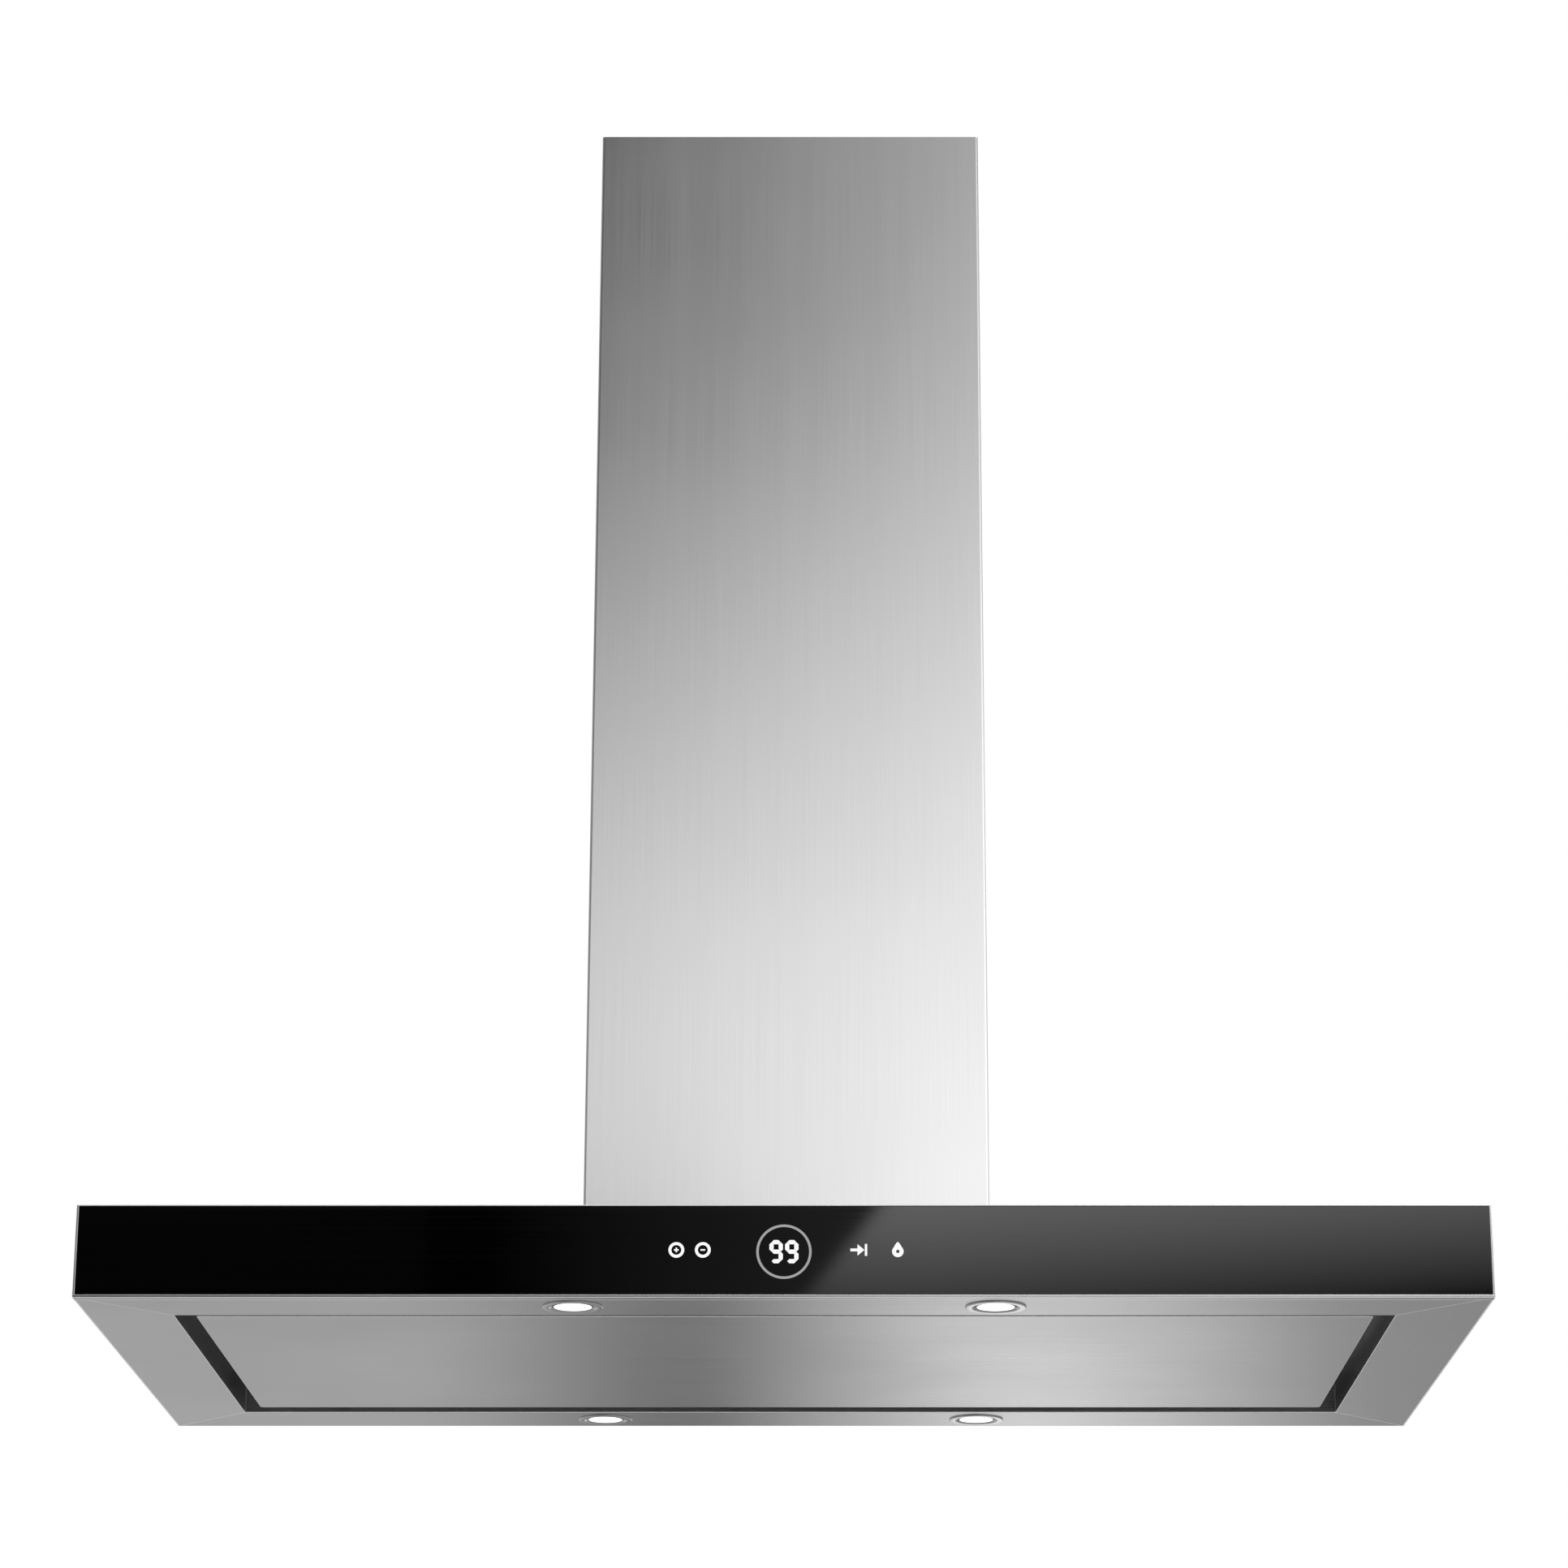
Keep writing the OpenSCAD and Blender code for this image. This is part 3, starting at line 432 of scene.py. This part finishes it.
# The rounded edges of these pieces get the painted edge highlight
for name in ("canopy_shell", "front_fascia", "panel_face"):
    soften(name, 0.5 * MM, 3, painted_edge_highlight)
for name in ("border_front", "border_rear", "border_left", "border_right"):
    soften(name, 0.58 * MM, 3, painted_edge_highlight)
soften("front_glass", 0.4 * MM, 3)
for name in ("filter_carrier", "panel_backing", "ceiling_plate", "seam_strips", "panel_lugs"):
    soften(name, 0.2 * MM)
for name in ("filter_frame_left", "filter_frame_centre", "filter_frame_right"):
    soften(name, 0.6 * MM)
for name in ("latch_left", "latch_centre", "latch_right", "panel_catches", "hinge_brackets"):
    soften(name, 0.4 * MM)


# ---- New pieces ----

def piece_from(name, mesh_builder, finish, body="hood", replaced=()):
    """Makes a named piece from a bmesh, gives it a finish and lets it ride on a body."""
    mesh = bpy.data.meshes.new(name)
    mesh_builder.to_mesh(mesh)
    mesh_builder.free()
    piece = bpy.data.objects.new(name, mesh)
    bpy.context.scene.collection.objects.link(piece)
    mesh.materials.append(finish)
    mesh.shade_smooth()
    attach(piece, body)
    if replaced:
        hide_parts(*replaced)
    return piece


def lathe(builder, profile, place, steps=96):
    """Turns a closed outline of (radius, height) round the Z axis through place."""
    rings = []
    for radius, height in profile:
        if radius == 0:
            rings.append([builder.verts.new(place + Vector((0, 0, height)))] * steps)
            continue
        ring = []
        for i in range(steps):
            turn = 2 * math.pi * i / steps
            point = Vector((radius * math.cos(turn), radius * math.sin(turn), height))
            ring.append(builder.verts.new(place + point))
        rings.append(ring)
    for k in range(len(rings)):
        lower, upper = rings[k], rings[(k + 1) % len(rings)]
        for i in range(steps):
            j = (i + 1) % steps
            corners = []
            for vertex in (lower[i], lower[j], upper[j], upper[i]):
                if vertex not in corners:
                    corners.append(vertex)
            if len(corners) > 2:
                builder.faces.new(corners)
    bmesh.ops.recalc_face_normals(builder, faces=builder.faces)


def polar(radius, degrees):
    """The point at a distance from the middle, in a direction."""
    turn = math.radians(degrees)
    return (radius * math.cos(turn), radius * math.sin(turn))


def arc(centre, radius, start, end, steps):
    """Points of an arc, with angles in degrees."""
    points = []
    for i in range(steps + 1):
        u, v = polar(radius, start + (end - start) * i / steps)
        points.append((centre[0] + u, centre[1] + v))
    return points


# ---- Lamps ----

def lamp_bezel(name, place):
    """Turned ring: rounded rim, flat face and a cone up to the lens."""
    proud = 1.5 * MM
    sleeve_r = 21.2 * MM
    sleeve_top = bezel_high.z
    inner = lens_r + 0.1 * MM
    cone_r = lens_r + 3.2 * MM
    cone_top = face_z - 0.2 * MM
    rim = 0.9 * MM
    rim_z = face_z - proud + rim
    profile = [(bezel_r, face_z)]
    profile += arc((bezel_r - rim, rim_z), rim, 0, -90, 5)
    profile += arc((cone_r, rim_z), rim, -90, -150, 4)
    profile += [(inner, cone_top), (inner, sleeve_top), (sleeve_r, sleeve_top), (sleeve_r, face_z)]
    builder = bmesh.new()
    lathe(builder, profile, place)
    return piece_from(name, builder, satin)


def lamp_lens(name, place):
    """Slightly domed lens."""
    dome = 0.5 * MM
    edge_r = lens_r - 0.05 * MM
    edge_z = face_z - 0.55 * MM
    steps = 8
    profile = [(0, edge_z - dome)]
    for i in range(1, steps + 1):
        share = i / steps
        profile.append((edge_r * share, edge_z - dome * (1 - share * share)))
    profile += [(edge_r, lens_high.z), (0, lens_high.z)]
    builder = bmesh.new()
    lathe(builder, profile, place, 64)
    return piece_from(name, builder, lens_finish)


for side, side_name in ((-1, "left"), (1, "right")):
    for end, end_name in ((-1, "front"), (1, "rear")):
        lamp_place = Vector((side * lamp_x, end * lamp_y, 0))
        bezel = lamp_bezel(f"lamp_bezel_{end_name}_{side_name}", lamp_place)
        lens = lamp_lens(f"lamp_lens_{end_name}_{side_name}", lamp_place)
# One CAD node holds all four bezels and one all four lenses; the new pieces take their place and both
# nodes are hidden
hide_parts("lamp_bezels")
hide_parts("lamp_lenses")


# ---- Touch signs on the glass ----

SIGN_DEPTH = 0.08 * MM
sign_z = (glass_low.z + glass_high.z) / 2
white_sign = lit_sign("sign_white", 0.92)
grey_sign = lit_sign("sign_grey", 0.33)


def stencil(builder, outline, x, z):
    """A thin plate on the glass, from an outline of (across, up) points about x, z."""
    front_y = glass_low.y - SIGN_DEPTH
    face = builder.faces.new([builder.verts.new((x + u, front_y, z + v)) for u, v in outline])
    face.normal_update()
    if face.normal.y > 0:
        face.normal_flip()
    made = bmesh.ops.extrude_face_region(builder, geom=[face])
    back = [v for v in made["geom"] if isinstance(v, bmesh.types.BMVert)]
    bmesh.ops.translate(builder, verts=back, vec=(0, SIGN_DEPTH, 0))


def stencil_between(builder, outside, inside, x, z):
    """A band between two lines of as many points, as a row of small plates that share their ends."""
    for i in range(len(outside) - 1):
        stencil(builder, [outside[i], outside[i + 1], inside[i + 1], inside[i]], x, z)


def stencil_ring(builder, outer, line, x, z, steps):
    """A ring on the glass."""
    outside = arc((0, 0), outer, 0, 360, steps)
    inside = arc((0, 0), outer - line, 0, 360, steps)
    stencil_between(builder, outside, inside, x, z)


def bar(width, height, u=0.0, v=0.0):
    """Outline of a bar round the point u, v."""
    left, right = u - width / 2, u + width / 2
    bottom, top = v - height / 2, v + height / 2
    return [(left, bottom), (right, bottom), (right, top), (left, top)]


def seven_segments(builder, lit, x, z, width, height, line):
    """One numeral. lit names its segments: a top, b c right, d bottom, e f left, g middle."""
    gap = 0.12 * MM
    tip = line / 2
    half = height / 2 - line / 2
    long_x = width / 2 - line / 2
    flat = width - line - 2 * gap
    tall = height / 2 - line / 2 - 2 * gap
    level = {"a": half, "g": 0, "d": -half}
    upright = {
        "b": (long_x, half / 2),
        "c": (long_x, -half / 2),
        "e": (-long_x, -half / 2),
        "f": (-long_x, half / 2),
    }
    for letter in lit:
        if letter in level:
            v = level[letter]
            a = flat / 2
            shape = [(-a, v), (-a + tip, v - tip), (a - tip, v - tip)]
            shape += [(a, v), (a - tip, v + tip), (-a + tip, v + tip)]
        else:
            u, v = upright[letter]
            a = tall / 2
            shape = [(u, v - a), (u + tip, v - a + tip), (u + tip, v + a - tip)]
            shape += [(u, v + a), (u - tip, v + a - tip), (u - tip, v - a + tip)]
        stencil(builder, shape, x, z)


def set_order(elements, place):
    """Sorts a mesh's corners or faces by place, so that each run gives them in the same order."""
    for i, element in enumerate(sorted(elements, key=place)):
        element.index = i
    elements.sort()


def sign_piece(name, builder, finish):
    """Joins a sign's plates and makes them one piece."""
    bmesh.ops.remove_doubles(builder, verts=builder.verts, dist=0.001 * MM)
    bmesh.ops.recalc_face_normals(builder, faces=builder.faces)
    set_order(builder.verts, lambda corner: corner.co[:])
    set_order(builder.faces, lambda face: face.calc_center_median()[:])
    piece = piece_from(name, builder, finish)
    piece.data.shade_flat()


def round_key(name, x, with_upright):
    """A ringed plus or minus."""
    builder = bmesh.new()
    ring_r = 6.7 * MM
    ring_line = 2.5 * MM
    line = 1.3 * MM
    reach = 2.0 * MM
    stencil_ring(builder, ring_r, ring_line, x, sign_z, 48)
    stencil(builder, bar(2 * reach, line), x, sign_z)
    if with_upright:
        for side in (-1, 1):
            half = bar(line, reach - line / 2, 0, side * (reach / 2 + line / 4))
            stencil(builder, half, x, sign_z)
    sign_piece(name, builder, white_sign)


def display_signs():
    """A grey ring round the two figures of 99."""
    middle = sign_z - 1.5 * MM
    ring_r = 23.4 * MM
    ring_line = 2.1 * MM
    figure_w, figure_h = 11.4 * MM, 20.0 * MM
    figure_line = 3.6 * MM
    apart = 6.6 * MM
    nine = "abcdfg"
    ring_builder = bmesh.new()
    stencil_ring(ring_builder, ring_r, ring_line, 0, middle, 96)
    sign_piece("display_ring", ring_builder, grey_sign)
    for name, x in (("display_tens", -apart), ("display_units", apart)):
        builder = bmesh.new()
        seven_segments(builder, nine, x, middle, figure_w, figure_h, figure_line)
        sign_piece(name, builder, white_sign)


def boost_key(x):
    """An arrow against a bar."""
    shaft = bar(6.0 * MM, 2.4 * MM, -4.2 * MM)
    head = [(-1.2 * MM, -4.9 * MM), (4.6 * MM, 0), (-1.2 * MM, 4.9 * MM)]
    stop = bar(2.0 * MM, 10.2 * MM, 6.0 * MM)
    builder = bmesh.new()
    for outline in (shaft, head, stop):
        stencil(builder, outline, x, sign_z)
    sign_piece("key_boost", builder, white_sign)


def light_key(x):
    """A lamp's sign: a thick ring whose outside narrows to a neck at the top."""
    middle = sign_z - 1.3 * MM
    hole_r = 1.5 * MM
    round_r = 4.9 * MM
    neck_h = 3.4 * MM
    neck = 45  # degrees on each side of the top
    steps = 48
    outside = []
    for i in range(steps + 1):
        turn = 360 * i / steps
        near_top = max(0, 1 - abs(turn - 90) / neck)
        outside.append(polar(round_r + neck_h * near_top ** 1.6, turn))
    inside = arc((0, 0), hole_r, 0, 360, steps)
    builder = bmesh.new()
    stencil_between(builder, outside, inside, x, middle)
    sign_piece("key_light", builder, white_sign)


# Places of the signs, from the middle of the glass
plus_x = -91 * MM
minus_x = -68.6 * MM
boost_x = 63.4 * MM
light_x = 96.3 * MM

round_key("key_plus", plus_x, True)
round_key("key_minus", minus_x, False)
display_signs()
boost_key(boost_x)
light_key(light_x)


# ---- Screws with a cross recess ----

def helper_from(name, mesh_builder):
    """An object that is only needed while another mesh is made."""
    mesh = bpy.data.meshes.new(name)
    mesh_builder.to_mesh(mesh)
    mesh_builder.free()
    helper = bpy.data.objects.new(name, mesh)
    bpy.context.scene.collection.objects.link(helper)
    return helper


def screw_blank(head_r, head_h, shank_r, length):
    """A pan-head screw along +Z: its head starts at z = 0 and its shank goes down."""
    profile = [(0, head_h)]
    for across, up in ((0.55, 0.96), (0.82, 0.76), (0.97, 0.36)):
        profile.append((head_r * across, head_h * up))
    profile += [(head_r, 0), (shank_r, 0), (shank_r, -length), (0, -length)]
    builder = bmesh.new()
    lathe(builder, profile, Vector((0, 0, 0)), 32)
    return helper_from("screw_blank", builder)


def cross_cutter(head_r, head_h):
    """Two crossed bars at the height of a screw's recess."""
    arm_size = (head_r * 1.1, head_r * 0.28, head_h)
    builder = bmesh.new()
    for degrees in (0, 90):
        turn = Matrix.Rotation(math.radians(degrees), 3, "Z")
        arm = bmesh.ops.create_cube(builder, size=1)["verts"]
        bmesh.ops.scale(builder, verts=arm, vec=arm_size)
        bmesh.ops.rotate(builder, verts=arm, cent=(0, 0, 0), matrix=turn)
        bmesh.ops.translate(builder, verts=arm, vec=(0, 0, head_h * 0.95))
    return helper_from("cross_cutter", builder)


def screw_mesh(head_r, head_h, shank_r, length):
    """The mesh of a screw with its recess cut."""
    screw = screw_blank(head_r, head_h, shank_r, length)
    cutter = cross_cutter(head_r, head_h)
    recess = screw.modifiers.new("recess", "BOOLEAN")
    recess.operation = "DIFFERENCE"
    recess.object = cutter
    recess.solver = "EXACT"
    recess.use_self = True
    graph = bpy.context.evaluated_depsgraph_get()
    cut = bpy.data.meshes.new_from_object(screw.evaluated_get(graph))
    for helper in (screw, cutter):
        bpy.data.objects.remove(helper)
    return cut


def set_screws(name, node, screw, places, turn):
    """Copies of one screw, each turned its own way, as one piece that stands for a CAD node."""
    builder = bmesh.new()
    for place, towards in places:
        before = len(builder.verts)
        builder.from_mesh(screw)
        builder.verts.ensure_lookup_table()
        fresh = builder.verts[before:]
        aim = towards.to_track_quat("Z", "Y").to_matrix().to_4x4()
        matrix = Matrix.Translation(place) @ aim @ Matrix.Rotation(turn * before, 4, "Z")
        bmesh.ops.transform(builder, matrix=matrix, verts=fresh)
    piece = piece_from(name, builder, plating, replaced=(node,))
    round_edges(piece, 0.08 * MM)


def seam_screws():
    """Two rows of screws on each side of the chimney."""
    low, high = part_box("seam_screws")
    chimney_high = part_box("chimney_front")[1]
    rows = 4
    head_h = high.x - chimney_high.x
    head_r = 3.5 * MM
    first, last = low.z + head_r, high.z - head_r
    side_y = high.y - head_r
    screw = screw_mesh(head_r, head_h, 1.8 * MM, 5.4 * MM)
    places = []
    for side in (-1, 1):
        for y in (-side_y, side_y):
            for i in range(rows):
                z = first + (last - first) * i / (rows - 1)
                places.append((Vector((side * chimney_high.x, y, z)), Vector((side, 0, 0))))
    set_screws("seam_screw_set", "seam_screws", screw, places, 1.3)


def carrier_screws():
    """Screws that hold the filter carrier from below."""
    low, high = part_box("carrier_screws")
    head_r = 4 * MM
    head_h = 3 * MM
    top = low.z + head_h
    edge_x = high.x - head_r
    edge_y = high.y - head_r
    columns = 4
    screw = screw_mesh(head_r, head_h, 2 * MM, 7 * MM)
    places = []
    for i in range(columns):
        x = edge_x * (2 * i / (columns - 1) - 1)
        for y in (-edge_y, edge_y):
            places.append((Vector((x, y, top)), Vector((0, 0, -1))))
    set_screws("carrier_screw_set", "carrier_screws", screw, places, 0.7)


seam_screws()
carrier_screws()


# ---- Expanded mesh over the grease filters ----

def strand_along(builder, points, corners):
    """One strand through the points, with the same four-cornered section all along and closed ends."""
    previous = None
    for x, y in points:
        section = [builder.verts.new((x, y + v, w)) for v, w in corners]
        if previous:
            for i in range(4):
                j = (i + 1) % 4
                builder.faces.new((previous[i], previous[j], section[j], section[i]))
        else:
            builder.faces.new(section)
        previous = section
    builder.faces.new(previous)


def expanded_mesh(width, depth, thick):
    """A guard of slit and stretched sheet: rows of zigzag strands that meet at their bends."""
    cell_x, cell_y = 11 * MM, 5.2 * MM
    strand = 0.9 * MM
    columns = round(width / cell_x) * 2
    rows = round(depth / cell_y)
    step_x = width / columns
    step_y = depth / rows
    swing = step_y / 2 - strand * 0.35
    side = strand / 2
    corners = ((-side, 0), (side, thick * 0.25), (side, thick), (-side, thick * 0.75))
    builder = bmesh.new()
    for row in range(rows):
        middle = -depth / 2 + (row + 0.5) * step_y
        points = []
        for column in range(columns + 1):
            up = 1 if (column + row) % 2 else -1
            points.append((-width / 2 + column * step_x, middle + up * swing))
        strand_along(builder, points, corners)
    bmesh.ops.recalc_face_normals(builder, faces=builder.faces)
    return builder


def filter_guards():
    """One guard under each filter's pleats, just above the frame's lower face."""
    thick = 0.9 * MM
    inset = 0.7 * MM
    for side in ("left", "centre", "right"):
        low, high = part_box(f"filter_mesh_{side}")
        frame_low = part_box(f"filter_frame_{side}")[0]
        builder = expanded_mesh(high.x - low.x, high.y - low.y, thick)
        middle = (low + high) / 2
        bmesh.ops.translate(builder, verts=builder.verts, vec=(middle.x, middle.y, frame_low.z + inset))
        guard = piece_from(f"filter_guard_{side}", builder, foil)
        guard.data.shade_flat()


filter_guards()


# ---- Studio ----

FLOOR_DROP = 1.6
floor_z = cad_low.z - FLOOR_DROP


class Glow(Nodes):
    """A material that only gives light."""

    def __init__(self, name):
        self.material = bpy.data.materials.new(name)
        super().__init__(self.material)
        self.glow = self.node("ShaderNodeEmission")
        self.out = self.node("ShaderNodeOutputMaterial", {"Surface": self.glow.outputs[0]})

    def level(self, value):
        """Drives how bright it is."""
        self.set(self.glow, "Strength", value)


def stage_mesh(name, corners, material):
    """One flat face that is part of the studio, not of the model."""
    mesh = bpy.data.meshes.new(name)
    mesh.from_pydata(corners, [], [tuple(range(len(corners)))])
    mesh.materials.append(material)
    sheet = bpy.data.objects.new(name, mesh)
    bpy.context.scene.collection.objects.link(sheet)
    return sheet


def studio_floor():
    """A wide pale floor that fades to white with distance, so that no horizon shows."""
    radius = 60
    sides = 96
    near, far = 2.0, 14.0
    pale = Glow("studio_floor")
    length = pale.node("ShaderNodeVectorMath", {0: pale.place}, operation="LENGTH").outputs["Value"]
    fade = pale.smooth(length, near, far)
    diffuse = pale.node("ShaderNodeBsdfDiffuse", {"Color": (0.8, 0.8, 0.8, 1)})
    own = pale.node("ShaderNodeEmission", {"Strength": 0.5})
    lit = pale.node("ShaderNodeAddShader", {0: diffuse.outputs[0], 1: own.outputs[0]})
    mix = pale.node("ShaderNodeMixShader", {"Fac": fade, 1: lit.outputs[0], 2: pale.glow.outputs[0]})
    pale.set(pale.out, "Surface", mix.outputs[0])
    circle = arc((0, 0), radius, 0, 360 - 360 / sides, sides - 1)
    floor = stage_mesh("studio_floor", [(x, y, 0) for x, y in circle], pale.material)
    floor.location.z = floor_z
    floor.visible_glossy = False


def card(name, corners, material):
    """A glowing card that only light and reflections see."""
    sheet = stage_mesh(name, corners, material)
    sheet.visible_camera = False
    sheet.visible_shadow = False


def standing(y, left, right, bottom, top):
    """Corners of a card that stands across the view."""
    return [(left, y, bottom), (right, y, bottom), (right, y, top), (left, y, top)]


# Two cards stand in front of the hood. The glass mirrors the lower one, and the chimney the upper one.
front_card_y = canopy_low.y - 1.0
front_split = -0.846


def glass_card():
    """Dark on the left. On the right of a slanting edge it is bright, and brighter towards its top."""
    edge_z = -0.978  # where the edge crosses x = 0
    edge_lean = 0.775  # how far it leans to the right, per metre of height
    edge_soft = 0.014
    dark_z, rise_per_m = -1.017, 18.0
    fall_x, fall_per_m = 0.15, -1.45
    haze_from, haze_to, haze_level = -0.33, 0.03, 0.25
    left, right, bottom = -0.4, 2.6, -1.15
    glow = Glow("glass_card")
    x, z = glow.axes("XZ")
    edge_x = glow.math("MULTIPLY", glow.math("SUBTRACT", z, edge_z), edge_lean)
    inside = glow.smooth(glow.math("SUBTRACT", x, edge_x), -edge_soft, edge_soft)
    rise = glow.math("MULTIPLY", glow.math("SUBTRACT", z, dark_z), rise_per_m)
    beyond = glow.math("MAXIMUM", glow.math("SUBTRACT", x, fall_x), 0)
    fall = glow.math("MULTIPLY", beyond, fall_per_m)
    bright = glow.math("MAXIMUM", glow.math("ADD", rise, fall), 0)
    haze = glow.span(x, haze_from, haze_to, 0.0, haze_level)
    glow.level(glow.blend(inside, haze, bright))
    card("glass_card", standing(front_card_y, left, right, bottom, front_split), glow.material)


def chimney_card():
    """Dark at the top, brighter lower down and to the right, with a patch of light low on the right."""
    dark_x = -0.225  # where it starts to brighten
    widest = 1.2
    patch_reach = 0.6
    left, right, top = -2.5, 2.6, 1.3
    glow = Glow("chimney_card")
    x, z = glow.axes("XZ")
    # Level by height, and how much brighter it gets per metre to the right
    height = glow.smooth(z, -0.75, 0.75, 0.83, -0.17)
    slope = glow.span(z, -0.8, 0.6, 0.53, 1.14)
    from_dark = glow.math("MINIMUM", glow.math("SUBTRACT", x, dark_x), widest)
    across = glow.math("MULTIPLY", from_dark, slope)
    low = glow.smooth(z, -0.66, -0.85, 0.0, 2.0)
    from_middle = glow.math("MAXIMUM", glow.math("MINIMUM", x, patch_reach), 0)
    patch = glow.math("MULTIPLY", low, from_middle)
    total = glow.math("ADD", height, glow.math("ADD", across, patch))
    glow.level(glow.math("MAXIMUM", total, 0))
    card("chimney_card", standing(front_card_y, left, right, front_split, top), glow.material)


def side_card():
    """A card to the right, which the chimney's fold and the canopy's end reflect."""
    glow = Glow("side_card")
    y = glow.axes("Y")[0]
    glow.level(glow.smooth(y, -1.2, 0.0, 1.4, 0.55))
    x = canopy_high.x + 2.4
    front, back, top = -1.8, 1.6, 0.8
    corners = [(x, front, face_z), (x, back, face_z), (x, back, top), (x, front, top)]
    card("side_card", corners, glow.material)


def rear_card():
    """A card behind the hood and below it, which the underside reflects as bands from front to back."""
    over_floor, under_hood = 0.05, 0.1
    y = canopy_high.y + 2.0
    half = 3.0
    brightest = 2.0
    # Each band is (place, level)
    bands = [(-half, 0.5), (-0.55, 0.62), (-0.22, 0.2), (-0.14, 0.2)]
    bands += [(0.28, 1.1), (0.4, 1.05), (0.8, 0.38), (half, 0.3)]
    stops = [((place + half) / (2 * half), (level / brightest,) * 3) for place, level in bands]
    glow = Glow("rear_card")
    x = glow.axes("X")[0]
    glow.set(glow.glow, "Color", glow.ramp(glow.span(x, -half, half), *stops))
    glow.level(brightest)
    corners = standing(y, -half, half, floor_z + over_floor, face_z - under_hood)
    card("rear_card", corners, glow.material)


def overhead_light():
    """A wide, soft lamp over the hood."""
    lamp = bpy.data.lights.new("overhead", "AREA")
    lamp.shape = "RECTANGLE"
    lamp.size = 3.5
    lamp.size_y = 3.0
    lamp.energy = 60
    light = bpy.data.objects.new("overhead", lamp)
    bpy.context.scene.collection.objects.link(light)
    light.location = (0, 0.2, 2.4)
    light.visible_camera = False


def studio_world():
    """White behind the object. For light and reflections it is grey, and dark ahead of the glass."""
    dark_way = Vector((-0.35, -1, 0.22)).normalized()
    dark_within, grey_beyond = math.radians(28), math.radians(55)
    dark_level, grey_level = 0.02, 0.4
    full = (1, 1, 1, 1)
    world = bpy.data.worlds.new("studio")
    bpy.context.scene.world = world
    sky = Nodes(world)
    ways = {0: sky.coordinates["Generated"], 1: dark_way}
    ahead = sky.node("ShaderNodeVectorMath", ways, operation="DOT_PRODUCT").outputs["Value"]
    level = sky.smooth(ahead, math.cos(grey_beyond), math.cos(dark_within), grey_level, dark_level)
    soft = sky.node("ShaderNodeBackground", {"Color": full, "Strength": level})
    white = sky.node("ShaderNodeBackground", {"Color": full})
    seen = sky.node("ShaderNodeLightPath").outputs["Is Camera Ray"]
    mix = sky.node("ShaderNodeMixShader", {"Fac": seen, 1: soft.outputs[0], 2: white.outputs[0]})
    sky.node("ShaderNodeOutputWorld", {"Surface": mix.outputs[0]})


def camera():
    """Low in front of the hood, looking up at its underside."""
    aside = 0.045
    distance = 3.6
    below = 0.74
    pitch = 17.7
    data = bpy.data.cameras.new("camera")
    data.lens = 99.3
    data.sensor_width = 36
    data.shift_x = -0.0339
    data.shift_y = 0.035
    view = bpy.data.objects.new("camera", data)
    bpy.context.scene.collection.objects.link(view)
    view.location = (aside, canopy_low.y - distance, canopy_low.z - below)
    view.rotation_euler = (math.radians(90 + pitch), 0, 0)
    bpy.context.scene.camera = view


studio_world()
studio_floor()
glass_card()
chimney_card()
rear_card()
side_card()
overhead_light()
camera()
# The plain view transform, so that the white behind the object stays white
bpy.context.scene.view_settings.view_transform = "Standard"
